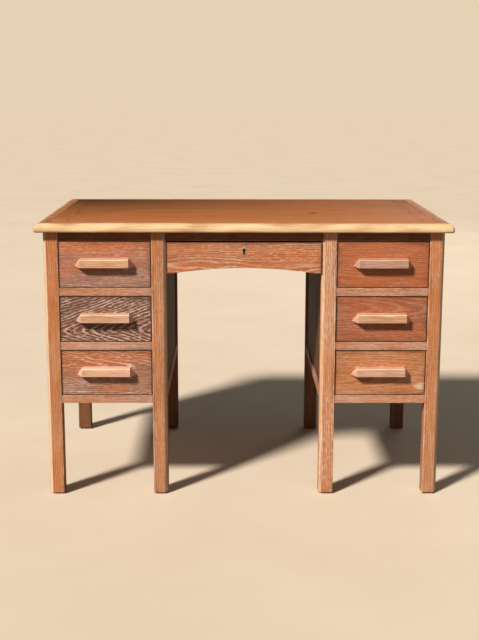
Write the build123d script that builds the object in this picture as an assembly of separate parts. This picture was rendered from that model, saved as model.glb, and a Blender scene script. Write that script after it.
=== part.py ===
from build123d import *
import os

# Twin-pedestal teacher's desk in oak. Millimetres, +Z up, front faces -Y.
# The origin is on the floor, under the middle of the desk top.

# ---- driving dimensions: the whole desk ---------------------------------
TOP_W = 1128.0            # desk top, left to right
TOP_D = 710.0             # desk top, front to back
HEIGHT = 762.0            # floor to writing surface
TOP_T = 24.0              # thickness of the top
OVERHANG = 24.0           # top beyond the legs, all round
PEDESTAL_W = 330.0        # over the legs of one pedestal
UNDER_PEDESTAL = 264.0    # floor to the underside of a pedestal

# ---- desk top -----------------------------------------------------------
LIPPING_W = 40.0          # solid edging round the top
NOSE_R = 15.0             # large upper rounding of the edging
NOSE_UNDER_R = 5.0        # small lower rounding
CORNER_R = 8.0            # corners of the top, seen from above
CLAMP_W = 42.0            # cross-grain clamp inside each end lipping
TONGUE_T = 8.0            # tongues that join the top's boards
TONGUE_L = 8.0
TONGUE_GAP = 0.5          # left at the bottom of each groove

# ---- legs and glides ----------------------------------------------------
LEG = 40.0                # square section
LEG_CHAMFER = 8.0         # on each leg's exposed corner
FOOT_CHAMFER = 1.5
GLIDE_D = 22.0
GLIDE_H = 4.0
GLIDE_PIN_D = 3.2
GLIDE_PIN_L = 14.0
PIN_CLEAR = 0.2           # round the glide's pin

# ---- rails and panels ---------------------------------------------------
TOP_RAIL_H = 24.0
RAIL_H = 22.0             # rails between and below the drawers
RAIL_RECESS = 1.0         # rails and drawer fronts behind the leg faces
FRONT_RAIL_D = 30.0       # depth of the front top rails
TENON_L = 15.0
SIDE_TENON_L = 12.0
TENON_END_GAP = 1.0       # left at the bottom of each mortise
TENON_CHEEK = 4.0         # shoulders in front of and behind a tenon
SIDE_RAIL_H = 26.0        # bottom rails at the sides and back
SIDE_RAIL_T = 20.0
SIDE_RAIL_RECESS = 2.0
BACK_RAIL_T = 18.0
PANEL_T = 6.0
PANEL_RECESS = 6.0        # panel face behind the leg face
PANEL_IN_LEG = 6.0        # how far a panel enters a leg's groove
PANEL_IN_RAIL = 5.0
GROOVE_GAP = 1.0          # left at the bottom of each panel groove
TENON_SHOULDER = PANEL_IN_RAIL + GROOVE_GAP   # above and below a tenon, clear of the grooves
KICKER_W = 50.0           # top side rails also keep the top drawers level
KNEEHOLE_BACK_H = 95.0
KNEEHOLE_BACK_T = 20.0
KNEEHOLE_BACK_SETBACK = 6.0

# ---- pedestal drawers ---------------------------------------------------
DRAWERS = 3               # in each pedestal
DRAWER_SIDE_GAP = 1.5     # front to leg
DRAWER_TOP_GAP = 1.5      # front to the rail above
DRAWER_BOTTOM_GAP = 1.0   # front to the rail below
DRAWER_BACK_ROOM = 81.0   # from a drawer's back end to the back of the desk's frame
FRONT_T = 20.0
SIDE_T = 12.0
SIDE_DROP = 6.0           # sides lower than the front
BACK_T = 10.0
BACK_IN_SIDE = 5.0        # back housed into the sides
BACK_SETBACK = 12.0       # sides run on behind the back
BOTTOM_T = 5.0
BOTTOM_UP = 8.0           # under the bottom to the lower edge of the sides
BOTTOM_IN = 5.0           # bottom enters the front and sides
BOTTOM_GAP = 0.5
RUN_CLEAR = 0.3           # drawer side above its runner
RUNNER_W = 28.0
RUNNER_T = 18.0
GUIDE_W = 12.0
GUIDE_H = 16.0
STOP_L = 12.0
STOP_H = 10.0
STOP_CLEAR = 0.3

# ---- lapped dovetails ---------------------------------------------------
TAIL_L = 14.0
TAIL_ROOT = 16.0
TAIL_END = 21.0
TAIL_PITCH = 29.0

# ---- bar pulls ----------------------------------------------------------
PULL_W = 162.0
PULL_FACE_W = 131.0
PULL_H = 27.0
PULL_D = 23.0
PULL_UP = 4.0             # above the middle of the drawer front
PULL_TOP_FALL = 1.5       # the top slopes down to the front
PULL_EDGE = 2.0           # small bevels on the front edges
PULL_LIP = 6.5            # wood in front of the finger hollow
PULL_HOLLOW_W = 12.0
PULL_HOLLOW_L = 110.0
PULL_HOLLOW_H = 14.5
SPIGOT_D = 10.0
SPIGOT_L = 12.0
SPIGOT_SPACING = 84.0
SPIGOT_UP = 6.0
SPIGOT_CLEAR = 0.1

# ---- centre drawer ------------------------------------------------------
CENTRE_FRONT_H = 83.5
CENTRE_TOP_GAP = 4.5
ARCH_RISE = 14.5
ARCH_FLAT = 18.0
CENTRE_BACK_ROOM = 141.0
CENTRE_SIDE_H = 58.0
CENTRE_SIDE_UP = 16.5     # sides above the front's lower corners
CENTRE_SIDE_T = 10.0
CENTRE_GUIDE_T = 12.0
CENTRE_GUIDE_CLEAR = 2.0
CENTRE_GUIDE_H = 50.0
CENTRE_RUNNER_W = 14.0
CENTRE_RUNNER_T = 10.0
CENTRE_TAILS = 2

# ---- lock ---------------------------------------------------------------
LOCK_W = 50.0
LOCK_T = 10.0
LOCK_H = 38.0
BOLT_W = 20.0
BOLT_T = 5.0
BOLT_H = 14.0
BOLT_TRAVEL = 9.0
BOLT_CLEAR = 0.3
BOLT_END_GAP = 2.0
KEYHOLE_D = 8.0
KEYHOLE_SLOT = 5.0
KEYHOLE_H = 16.0
KEYHOLE_DOWN = 24.5       # keyhole's middle below the front's top edge
KEY_POCKET = 8.0
ESCUTCHEON_W = 14.0
ESCUTCHEON_H = 23.0
ESCUTCHEON_T = 1.0

# ---- buttons that hold the top ------------------------------------------
BUTTON_L = 34.0
BUTTON_W = 25.0
BUTTON_H = 15.0
BUTTON_TONGUE_L = 8.0
BUTTON_TONGUE_T = 7.0
BUTTON_PLACES = (-200.0, 200.0)
SCREW_D = 4.0
SCREW_HEAD_D = 8.0
SCREW_L = 28.0
SCREW_CLEAR = 0.1

# ---- worked out ---------------------------------------------------------
TOP_Z = HEIGHT - TOP_T
FRAME_X = TOP_W / 2 - OVERHANG
FRAME_Y = TOP_D / 2 - OVERHANG
INNER_X = FRAME_X - PEDESTAL_W
FRONT_Y = -FRAME_Y + RAIL_RECESS
LEG_BACK_Y = FRAME_Y - LEG
DRAWER_L = FRAME_Y - DRAWER_BACK_ROOM - FRONT_Y
CENTRE_L = FRAME_Y - CENTRE_BACK_ROOM - FRONT_Y
OPENING_TOP = TOP_Z - TOP_RAIL_H
OPENING_W = PEDESTAL_W - 2 * LEG
OPENING_H = (OPENING_TOP - UNDER_PEDESTAL - DRAWERS * RAIL_H) / DRAWERS
PEDESTAL_MID = FRAME_X - PEDESTAL_W / 2
LOW_RAIL_TOP = UNDER_PEDESTAL + SIDE_RAIL_H


def opening_floor(row):
    """Top of the rail under a drawer; row 0 is the top drawer."""
    return OPENING_TOP - (row + 1) * OPENING_H - row * RAIL_H


def block(x0, x1, y0, y1, z0, z1):
    """A box between two corners."""
    middle = ((x0 + x1) / 2, (y0 + y1) / 2, (z0 + z1) / 2)
    return Pos(*middle) * Box(abs(x1 - x0), abs(y1 - y0), abs(z1 - z0))


def prism_x(points_yz, x0, x1):
    outline = Plane.YZ * Polygon(*points_yz, align=None)
    return Pos(x0, 0, 0) * extrude(outline, amount=x1 - x0, dir=(1, 0, 0))


def prism_y(points_xz, y0, y1):
    outline = Plane.XZ * Polygon(*points_xz, align=None)
    return Pos(0, y0, 0) * extrude(outline, amount=y1 - y0, dir=(0, 1, 0))


def prism_z(points_xy, z0, z1):
    outline = Polygon(*points_xy, align=None)
    return Pos(0, 0, z0) * extrude(outline, amount=z1 - z0, dir=(0, 0, 1))


def rod(x, y, z0, z1, diameter):
    return Pos(x, y, (z0 + z1) / 2) * Cylinder(diameter / 2, z1 - z0)


def left_and_right(piece):
    """The piece and its mirror image in the desk's middle plane."""
    return [piece, mirror(piece, about=Plane.YZ)]


def reaches(a, b):
    """True where two bounding boxes overlap."""
    p = a.bounding_box()
    q = b.bounding_box()
    apart_x = p.max.X <= q.min.X or q.max.X <= p.min.X
    apart_y = p.max.Y <= q.min.Y or q.max.Y <= p.min.Y
    apart_z = p.max.Z <= q.min.Z or q.max.Z <= p.min.Z
    return not (apart_x or apart_y or apart_z)


def cut(piece, cutters):
    """Take away each cutter that reaches the piece."""
    for cutter in cutters:
        if reaches(piece, cutter):
            piece = piece - cutter
    return piece


nodes = {}


def keep(name, pieces):
    """Store a node: one piece, or a list of separate pieces."""
    if not isinstance(pieces, list):
        pieces = [pieces]
    nodes[name] = [solid for piece in pieces for solid in piece.solids()]


# Every mortise, groove and hole is collected here and cut from the legs later.
leg_cuts = []


# ---- rails --------------------------------------------------------------
def rail_between_legs(x0, x1, y0, y1, z0, z1):
    """A rail along X with a tenon at each end; its mortises join leg_cuts."""
    ty0 = y0 + TENON_CHEEK
    ty1 = min(y1 - TENON_CHEEK, ty0 + SIDE_RAIL_T)
    tz0 = z0 + TENON_SHOULDER
    tz1 = z1 - TENON_SHOULDER
    tenon = block(x0 - TENON_L, x1 + TENON_L, ty0, ty1, tz0, tz1)
    deep = TENON_L + TENON_END_GAP
    leg_cuts.append(block(x0 - deep, x0, ty0, ty1, tz0, tz1))
    leg_cuts.append(block(x1, x1 + deep, ty0, ty1, tz0, tz1))
    return block(x0, x1, y0, y1, z0, z1) + tenon


def rail_along_side(x0, x1, tx0, tx1, z0, z1):
    """A rail along Y between a front and a back leg, tenoned at both ends."""
    tz0 = z0 + TENON_SHOULDER
    tz1 = z1 - TENON_SHOULDER
    tenon_y = LEG_BACK_Y + SIDE_TENON_L
    deep_y = tenon_y + TENON_END_GAP
    leg_cuts.append(block(tx0, tx1, -deep_y, -LEG_BACK_Y, tz0, tz1))
    leg_cuts.append(block(tx0, tx1, LEG_BACK_Y, deep_y, tz0, tz1))
    tenon = block(tx0, tx1, -tenon_y, tenon_y, tz0, tz1)
    return block(x0, x1, -LEG_BACK_Y, LEG_BACK_Y, z0, z1) + tenon


def make_front_top_rails():
    y1 = FRONT_Y + FRONT_RAIL_D
    outer = rail_between_legs(
        PEDESTAL_MID - OPENING_W / 2, PEDESTAL_MID + OPENING_W / 2, FRONT_Y, y1, OPENING_TOP, TOP_Z
    )
    leg_cuts.extend(mirror(c, about=Plane.YZ) for c in leg_cuts[-2:])
    centre = rail_between_legs(-INNER_X, INNER_X, FRONT_Y, y1, OPENING_TOP, TOP_Z)
    room = BOLT_TRAVEL - CENTRE_TOP_GAP + BOLT_END_GAP
    bolt_y = FRONT_Y + FRONT_T - LOCK_T / 2
    half_w = BOLT_W / 2 + BOLT_CLEAR + 1
    half_t = BOLT_T / 2 + BOLT_CLEAR + 1
    strike = block(-half_w, half_w, bolt_y - half_t, bolt_y + half_t, OPENING_TOP, OPENING_TOP + room)
    keep("front_top_rails", left_and_right(outer) + [centre - strike])


def make_drawer_rails():
    rails = []
    for row in range(DRAWERS):
        z1 = opening_floor(row)
        x0 = PEDESTAL_MID - OPENING_W / 2
        rail = rail_between_legs(x0, x0 + OPENING_W, FRONT_Y, -LEG_BACK_Y, z1 - RAIL_H, z1)
        leg_cuts.extend(mirror(c, about=Plane.YZ) for c in leg_cuts[-2:])
        rails += left_and_right(rail)
    keep("drawer_rails", rails)


def make_back_rails():
    y0 = FRAME_Y - SIDE_RAIL_RECESS - BACK_RAIL_T
    y1 = FRAME_Y - SIDE_RAIL_RECESS
    x0 = PEDESTAL_MID - OPENING_W / 2
    x1 = x0 + OPENING_W
    panel_y = back_panel_y()
    rails = []
    for z0, z1, groove in (
        (OPENING_TOP, TOP_Z, (OPENING_TOP, OPENING_TOP + PANEL_IN_RAIL + GROOVE_GAP)),
        (UNDER_PEDESTAL, LOW_RAIL_TOP, (LOW_RAIL_TOP - PANEL_IN_RAIL - GROOVE_GAP, LOW_RAIL_TOP)),
    ):
        rail = rail_between_legs(x0, x1, y0, y1, z0, z1)
        leg_cuts.extend(mirror(c, about=Plane.YZ) for c in leg_cuts[-2:])
        rail = rail - block(x0, x1, panel_y, panel_y + PANEL_T, *groove)
        rails += left_and_right(rail)
    keep("back_rails", rails)


def back_panel_y():
    """Inner face of the back panels."""
    return FRAME_Y - PANEL_RECESS - SIDE_RAIL_RECESS - PANEL_T


def make_kneehole_back_rail():
    y1 = FRAME_Y - KNEEHOLE_BACK_SETBACK
    y0 = y1 - KNEEHOLE_BACK_T
    rail = rail_between_legs(-INNER_X, INNER_X, y0, y1, TOP_Z - KNEEHOLE_BACK_H, TOP_Z)
    keep("kneehole_back_rail", rail)


# ---- the four pedestal sides --------------------------------------------
def side_faces():
    """For each of the right pedestal's sides: its leg face and the way inwards."""
    return ((FRAME_X, -1.0), (INNER_X, 1.0))


def make_sides():
    rails = []
    panels = {}
    for (face, inward), name in zip(side_faces(), ("outer", "kneehole")):
        panel_out = face + inward * PANEL_RECESS
        panel_in = panel_out + inward * PANEL_T
        tenon_out = face + inward * (PANEL_RECESS + PANEL_T + 3)
        tenon_in = tenon_out + inward * 10
        kick_in = face + inward * (PANEL_RECESS + KICKER_W)
        top_rail = rail_along_side(
            *sorted((face + inward * SIDE_RAIL_RECESS, kick_in)),
            *sorted((tenon_out, tenon_in)),
            OPENING_TOP,
            TOP_Z,
        )
        low_out = face + inward * SIDE_RAIL_RECESS
        low_in = low_out + inward * SIDE_RAIL_T
        low_rail = rail_along_side(
            *sorted((low_out, low_in)),
            *sorted((tenon_out - inward * 6, tenon_in - inward * 6)),
            UNDER_PEDESTAL,
            LOW_RAIL_TOP,
        )
        px0, px1 = sorted((panel_out, panel_in))
        groove_y = LEG_BACK_Y + PANEL_IN_LEG + GROOVE_GAP
        leg_cuts.append(block(px0, px1, -groove_y, groove_y, UNDER_PEDESTAL, TOP_Z))
        leg_cuts.extend(mirror(c, about=Plane.YZ) for c in leg_cuts[-5:])
        top_groove = OPENING_TOP + PANEL_IN_RAIL + GROOVE_GAP
        low_groove = LOW_RAIL_TOP - PANEL_IN_RAIL - GROOVE_GAP
        top_rail = top_rail - block(px0, px1, -LEG_BACK_Y, LEG_BACK_Y, OPENING_TOP, top_groove)
        low_rail = low_rail - block(px0, px1, -LEG_BACK_Y, LEG_BACK_Y, low_groove, LOW_RAIL_TOP)
        top_rail = top_rail - button_slots(face, inward)
        rails += left_and_right(top_rail) + left_and_right(low_rail)
        edge_y = LEG_BACK_Y + PANEL_IN_LEG
        low_z = LOW_RAIL_TOP - PANEL_IN_RAIL
        high_z = OPENING_TOP + PANEL_IN_RAIL
        panels[name] = block(px0, px1, -edge_y, edge_y, low_z, high_z)
    keep("side_rails", rails)
    keep("side_panels_outer", left_and_right(panels["outer"]))
    keep("side_panels_kneehole", left_and_right(panels["kneehole"]))


def make_back_panels():
    x0 = PEDESTAL_MID - OPENING_W / 2
    x1 = x0 + OPENING_W
    y0 = back_panel_y()
    low_z = LOW_RAIL_TOP - PANEL_IN_RAIL
    high_z = OPENING_TOP + PANEL_IN_RAIL
    panel = block(x0 - PANEL_IN_LEG, x1 + PANEL_IN_LEG, y0, y0 + PANEL_T, low_z, high_z)
    deep = PANEL_IN_LEG + GROOVE_GAP
    groove = block(x0 - deep, x1 + deep, y0, y0 + PANEL_T, low_z, high_z)
    leg_cuts.extend(left_and_right(groove))
    keep("back_panels", left_and_right(panel))


# ---- buttons and screws that hold the top -------------------------------
def button_z():
    return TOP_Z - BUTTON_H


def button_slots(face, inward):
    """Slots in a top side rail for the buttons' tongues."""
    edge = face + inward * (PANEL_RECESS + KICKER_W)
    deep = edge - inward * (BUTTON_TONGUE_L + TENON_END_GAP)
    z0 = button_z()
    slots = []
    for y in BUTTON_PLACES:
        half = BUTTON_W / 2 + 1
        slots.append(block(*sorted((edge, deep)), y - half, y + half, z0, z0 + BUTTON_TONGUE_T))
    return slots


def screw_shape(x, y):
    """Countersunk screw pointing up from a button into the top."""
    z0 = button_z() + 1
    head = Pos(x, y, z0 + SCREW_HEAD_D / 4) * Cone(SCREW_HEAD_D / 2, SCREW_D / 2, SCREW_HEAD_D / 2)
    return head + rod(x, y, z0 + SCREW_HEAD_D / 2, z0 + SCREW_L, SCREW_D)


def screw_hole(x, y):
    z0 = button_z() + 1
    clear = SCREW_CLEAR
    head = Pos(x, y, z0 + SCREW_HEAD_D / 4) * Cone(
        SCREW_HEAD_D / 2 + clear, SCREW_D / 2 + clear, SCREW_HEAD_D / 2
    )
    well = rod(x, y, z0 - 1, z0, SCREW_HEAD_D + 2 * clear)
    return head + well + rod(x, y, z0 + SCREW_HEAD_D / 2, z0 + SCREW_L + 1, SCREW_D + 2 * clear)


def make_buttons():
    buttons = []
    screws = []
    holes = []
    for face, inward in side_faces():
        edge = face + inward * (PANEL_RECESS + KICKER_W)
        tip = edge - inward * BUTTON_TONGUE_L
        end = edge + inward * BUTTON_L
        hole_x = edge + inward * BUTTON_L * 0.55
        for y in BUTTON_PLACES:
            y0 = y - BUTTON_W / 2
            y1 = y + BUTTON_W / 2
            z0 = button_z()
            body = block(*sorted((edge, end)), y0, y1, z0, TOP_Z)
            tongue = block(*sorted((tip, edge)), y0, y1, z0, z0 + BUTTON_TONGUE_T)
            hole = screw_hole(hole_x, y)
            buttons += left_and_right(body + tongue - hole)
            screws += left_and_right(screw_shape(hole_x, y))
            holes += left_and_right(hole)
    keep("top_buttons", buttons)
    keep("button_screws", screws)
    return holes


# ---- legs and glides ----------------------------------------------------
def leg_blank(x_in, x_out, y_side, chamfer_at_x):
    """A square leg with one long chamfer; y_side is -1 in front and 1 behind."""
    y_out = y_side * FRAME_Y
    y_in = y_side * LEG_BACK_Y
    leg = block(x_in, x_out, y_in, y_out, GLIDE_H, TOP_Z)
    foot = leg.faces().sort_by(Axis.Z)[0]
    leg = chamfer(foot.edges(), FOOT_CHAMFER)
    towards = 1.0 if chamfer_at_x < (x_in + x_out) / 2 else -1.0
    corner = (chamfer_at_x, y_out)
    along_x = (chamfer_at_x + towards * LEG_CHAMFER, y_out)
    along_y = (chamfer_at_x, y_out - y_side * LEG_CHAMFER)
    return leg - prism_z([corner, along_x, along_y], 0, TOP_Z)


def make_legs():
    glides = []
    for y_side, place in ((-1.0, "front"), (1.0, "back")):
        for x_in, x_out, chamfer_at_x, name in (
            (FRAME_X - LEG, FRAME_X, FRAME_X, "outer"),
            (INNER_X, INNER_X + LEG, INNER_X, "inner"),
        ):
            x = (x_in + x_out) / 2
            y = y_side * (FRAME_Y - LEG / 2)
            pin_hole = rod(x, y, 0, GLIDE_H + GLIDE_PIN_L + 1, GLIDE_PIN_D + 2 * PIN_CLEAR)
            leg = cut(leg_blank(x_in, x_out, y_side, chamfer_at_x), leg_cuts) - pin_hole
            keep(f"legs_{place}_{name}", left_and_right(leg))
            glides += left_and_right(glide(x, y))
    keep("foot_glides", glides)


def glide(x, y):
    """A nailed steel glide: a shallow disc with a pin."""
    disc = Cylinder(GLIDE_D / 2, GLIDE_H)
    disc = fillet(disc.edges().sort_by(Axis.Z)[0], GLIDE_H * 0.4)
    return Pos(x, y, GLIDE_H / 2) * disc + rod(x, y, GLIDE_H, GLIDE_H + GLIDE_PIN_L, GLIDE_PIN_D)


# ---- desk top -----------------------------------------------------------
def tongue_z():
    return TOP_Z + (TOP_T - TONGUE_T) / 2


def make_top(screw_holes):
    core_x = TOP_W / 2 - LIPPING_W
    core_y = TOP_D / 2 - LIPPING_W
    panel_x = core_x - CLAMP_W
    z0 = tongue_z()
    z1 = z0 + TONGUE_T
    reach = TONGUE_L
    groove = TONGUE_L + TONGUE_GAP

    panel = block(-panel_x, panel_x, -core_y, core_y, TOP_Z, HEIGHT)
    panel += block(-panel_x, panel_x, -core_y - reach, core_y + reach, z0, z1)
    panel += block(-panel_x - reach, panel_x + reach, -core_y, core_y, z0, z1)
    keep("top_panel", cut(panel, screw_holes))

    clamp = block(panel_x, core_x, -core_y, core_y, TOP_Z, HEIGHT)
    clamp += block(panel_x, core_x + reach, -core_y, core_y, z0, z1)
    clamp += block(panel_x, core_x, -core_y - reach, core_y + reach, z0, z1)
    clamp -= block(panel_x, panel_x + groove, -core_y - reach, core_y + reach, z0, z1)
    keep("top_end_clamps", left_and_right(cut(clamp, screw_holes)))

    outline = RectangleRounded(TOP_W, TOP_D, CORNER_R)
    rounded = Pos(0, 0, TOP_Z) * extrude(outline, amount=TOP_T)
    hollow = block(-core_x - groove, core_x + groove, -core_y - groove, core_y + groove, z0, z1)
    half_x = TOP_W / 2
    half_y = TOP_D / 2
    front_plan = [(-half_x, -half_y), (half_x, -half_y), (core_x, -core_y), (-core_x, -core_y)]
    side_plan = [(half_x, -half_y), (half_x, half_y), (core_x, core_y), (core_x, -core_y)]
    front = lipping(half_y, 2 * half_x) & rounded & prism_z(front_plan, TOP_Z, HEIGHT)
    front = front - hollow
    side = (Rot(0, 0, 90) * lipping(half_x, 2 * half_y)) & rounded & prism_z(side_plan, TOP_Z, HEIGHT)
    side = side - hollow
    keep("lipping_front", front)
    keep("lipping_back", mirror(front, about=Plane.XZ))
    keep("lipping_ends", left_and_right(side))


def lipping(reach_y, length):
    """Edging along X whose moulded nose is at y = -reach_y."""
    inner = -reach_y + LIPPING_W
    nose = -reach_y
    section = [
        Line((inner, TOP_Z), (inner, HEIGHT)),
        Line((inner, HEIGHT), (nose + NOSE_R, HEIGHT)),
        RadiusArc((nose + NOSE_R, HEIGHT), (nose, HEIGHT - NOSE_R), -NOSE_R),
        Line((nose, HEIGHT - NOSE_R), (nose, TOP_Z + NOSE_UNDER_R)),
        RadiusArc((nose, TOP_Z + NOSE_UNDER_R), (nose + NOSE_UNDER_R, TOP_Z), -NOSE_UNDER_R),
        Line((nose + NOSE_UNDER_R, TOP_Z), (inner, TOP_Z)),
    ]
    face = Plane.YZ * make_face(Curve() + section)
    return Pos(-length / 2, 0, 0) * extrude(face, amount=length, dir=(1, 0, 0))


# ---- drawer running gear ------------------------------------------------
def make_running_gear():
    """Runners under the drawer sides, guides beside them and stops behind."""
    runners = []
    guides = []
    stops = []
    side_x = OPENING_W / 2 - DRAWER_SIDE_GAP
    stop_y = FRONT_Y + DRAWER_L + STOP_CLEAR
    for row in range(DRAWERS):
        z = opening_floor(row)
        for hand in (-1.0, 1.0):
            leg_face = PEDESTAL_MID + hand * OPENING_W / 2
            outer = leg_face + hand * GUIDE_W
            inner = outer - hand * RUNNER_W
            block_in = PEDESTAL_MID + hand * (side_x - SIDE_T)
            runner = block(*sorted((inner, outer)), -LEG_BACK_Y, LEG_BACK_Y, z - RUNNER_T, z)
            guide = block(*sorted((leg_face, outer)), -LEG_BACK_Y, LEG_BACK_Y, z, z + GUIDE_H)
            stop = block(*sorted((block_in, leg_face)), stop_y, stop_y + STOP_L, z, z + STOP_H)
            runners += left_and_right(runner)
            guides += left_and_right(guide)
            stops += left_and_right(stop)

    z = centre_side_bottom() - RUN_CLEAR
    y0 = FRONT_Y + FRONT_T + 1
    y1 = FRAME_Y - KNEEHOLE_BACK_SETBACK - KNEEHOLE_BACK_T
    guide_x = INNER_X - CENTRE_GUIDE_T
    low = z - CENTRE_RUNNER_T
    stop_y = FRONT_Y + CENTRE_L + STOP_CLEAR
    guides += left_and_right(block(guide_x, INNER_X, y0, y1, low, low + CENTRE_GUIDE_H))
    runners += left_and_right(block(guide_x - CENTRE_RUNNER_W, guide_x, y0, y1, low, z))
    stops += left_and_right(
        block(guide_x - CENTRE_RUNNER_W, guide_x, stop_y, stop_y + STOP_L, z, z + STOP_H)
    )
    keep("drawer_runners", runners)
    keep("drawer_guides", guides)
    keep("drawer_stops", stops)


# ---- drawers ------------------------------------------------------------
def tails(x0, x1, side_bottom, side_height, count):
    """Dovetails along the front end of a drawer side, widest at their tips."""
    root_y = FRONT_Y + FRONT_T
    tip_y = root_y - TAIL_L
    pitch = min(TAIL_PITCH, side_height / count)
    middle = side_bottom + side_height / 2
    shapes = []
    for i in range(count):
        z = middle + (i - (count - 1) / 2) * pitch
        outline = [
            (root_y, z - TAIL_ROOT / 2),
            (tip_y, z - TAIL_END / 2),
            (tip_y, z + TAIL_END / 2),
            (root_y, z + TAIL_ROOT / 2),
        ]
        shapes.append(prism_x(outline, x0, x1))
    return shapes


def drawer_box(mid_x, half_x, side_t, side_z, side_h, length, tail_count):
    """Sides, back and bottom of a drawer, and what to cut from its front."""
    y0 = FRONT_Y + FRONT_T
    y1 = FRONT_Y + length
    back_y1 = y1 - BACK_SETBACK
    back_y0 = back_y1 - BACK_T
    bottom_z0 = side_z + BOTTOM_UP
    bottom_z1 = bottom_z0 + BOTTOM_T
    deep = BOTTOM_IN + BOTTOM_GAP
    inner = half_x - side_t
    back_end = inner + BACK_IN_SIDE
    bottom_end = inner + BOTTOM_IN
    groove = block(
        mid_x - inner - deep, mid_x + inner + deep, y0 - deep, y1, bottom_z0, bottom_z1
    )
    housing = block(mid_x - back_end, mid_x + back_end, back_y0, back_y1, bottom_z1, side_z + side_h)
    sides = []
    sockets = []
    for hand in (-1.0, 1.0):
        x0, x1 = sorted((mid_x + hand * inner, mid_x + hand * half_x))
        side = block(x0, x1, y0, y1, side_z, side_z + side_h)
        tail_shapes = tails(x0, x1, side_z, side_h, tail_count)
        for tail in tail_shapes:
            side = side + tail
        sides.append(side - groove - housing)
        sockets += tail_shapes
    bottom = block(mid_x - bottom_end, mid_x + bottom_end, y0 - BOTTOM_IN, y1, bottom_z0, bottom_z1)
    front_cuts = sockets + [groove]
    return sides, housing, bottom, front_cuts


def pull(mid_x, mid_z):
    """A bar pull with pointed ends, a finger hollow below and two spigots."""
    half_h = PULL_H / 2
    half_w = PULL_W / 2
    half_face = PULL_FACE_W / 2
    face_y = FRONT_Y - PULL_D
    low = mid_z - half_h
    high = mid_z + half_h
    front_view = [
        (mid_x - half_w, mid_z),
        (mid_x - half_face, low),
        (mid_x + half_face, low),
        (mid_x + half_w, mid_z),
        (mid_x + half_face, high),
        (mid_x - half_face, high),
    ]
    plan = [
        (mid_x - half_w, FRONT_Y),
        (mid_x - half_face, face_y),
        (mid_x + half_face, face_y),
        (mid_x + half_w, FRONT_Y),
    ]
    section = [
        (FRONT_Y, low),
        (FRONT_Y, high),
        (face_y + PULL_EDGE, high - PULL_TOP_FALL),
        (face_y, high - PULL_TOP_FALL - PULL_EDGE),
        (face_y, low + 2 * PULL_EDGE),
        (face_y + PULL_EDGE, low + PULL_EDGE),
    ]
    bar = prism_y(front_view, face_y, FRONT_Y) & prism_z(plan, low, high)
    bar = bar & prism_x(section, mid_x - half_w, mid_x + half_w)
    hollow_y = face_y + PULL_LIP + PULL_HOLLOW_W / 2
    radius = PULL_HOLLOW_W / 2
    x0 = mid_x - PULL_HOLLOW_L / 2
    x1 = mid_x + PULL_HOLLOW_L / 2
    hollow_top = low + PULL_HOLLOW_H - radius
    hollow = block(x0, x1, hollow_y - radius, hollow_y + radius, low - 1, hollow_top)
    hollow += Pos(mid_x, hollow_y, hollow_top) * Rot(0, 90, 0) * Cylinder(radius, PULL_HOLLOW_L)
    bar = bar - hollow
    for x in spigot_places(mid_x):
        bar += spigot(x, mid_z, SPIGOT_D, SPIGOT_L)
    return bar


def spigot_places(mid_x):
    return (mid_x - SPIGOT_SPACING / 2, mid_x + SPIGOT_SPACING / 2)


def spigot(x, mid_z, diameter, length):
    """A round peg, or its hole, going back from the front's face."""
    place = Pos(x, FRONT_Y + length / 2, mid_z + SPIGOT_UP) * Rot(90, 0, 0)
    return place * Cylinder(diameter / 2, length)


def make_pedestal_drawer(name, mid_x, row):
    floor = opening_floor(row)
    half_x = OPENING_W / 2 - DRAWER_SIDE_GAP
    z0 = floor + DRAWER_BOTTOM_GAP
    z1 = floor + OPENING_H - DRAWER_TOP_GAP
    side_z = floor + RUN_CLEAR
    side_h = z1 - SIDE_DROP - side_z
    tail_count = int(side_h // TAIL_PITCH)
    sides, back, bottom, front_cuts = drawer_box(
        mid_x, half_x, SIDE_T, side_z, side_h, DRAWER_L, tail_count
    )
    front = block(mid_x - half_x, mid_x + half_x, FRONT_Y, FRONT_Y + FRONT_T, z0, z1)
    front = cut(front, front_cuts)
    pull_z = (z0 + z1) / 2 + PULL_UP
    for x in spigot_places(mid_x):
        front = front - spigot(x, pull_z, SPIGOT_D + 2 * SPIGOT_CLEAR, SPIGOT_L + 1)
    keep(f"{name}_front", front)
    keep(f"{name}_sides", sides)
    keep(f"{name}_back", back)
    keep(f"{name}_bottom", bottom)
    keep(f"{name}_pull", pull(mid_x, pull_z))


# ---- centre drawer and its lock -----------------------------------------
def centre_front_top():
    return OPENING_TOP - CENTRE_TOP_GAP


def centre_side_bottom():
    return centre_front_top() - CENTRE_FRONT_H + CENTRE_SIDE_UP


def keyhole(y0, y1):
    """Round top and straight slot, from y0 to y1."""
    z = centre_front_top() - KEYHOLE_DOWN
    top = z + KEYHOLE_H / 2
    eye_z = top - KEYHOLE_D / 2
    eye = Pos(0, (y0 + y1) / 2, eye_z) * Rot(90, 0, 0) * Cylinder(KEYHOLE_D / 2, y1 - y0)
    return eye + block(-KEYHOLE_SLOT / 2, KEYHOLE_SLOT / 2, y0, y1, z - KEYHOLE_H / 2, eye_z)


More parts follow.
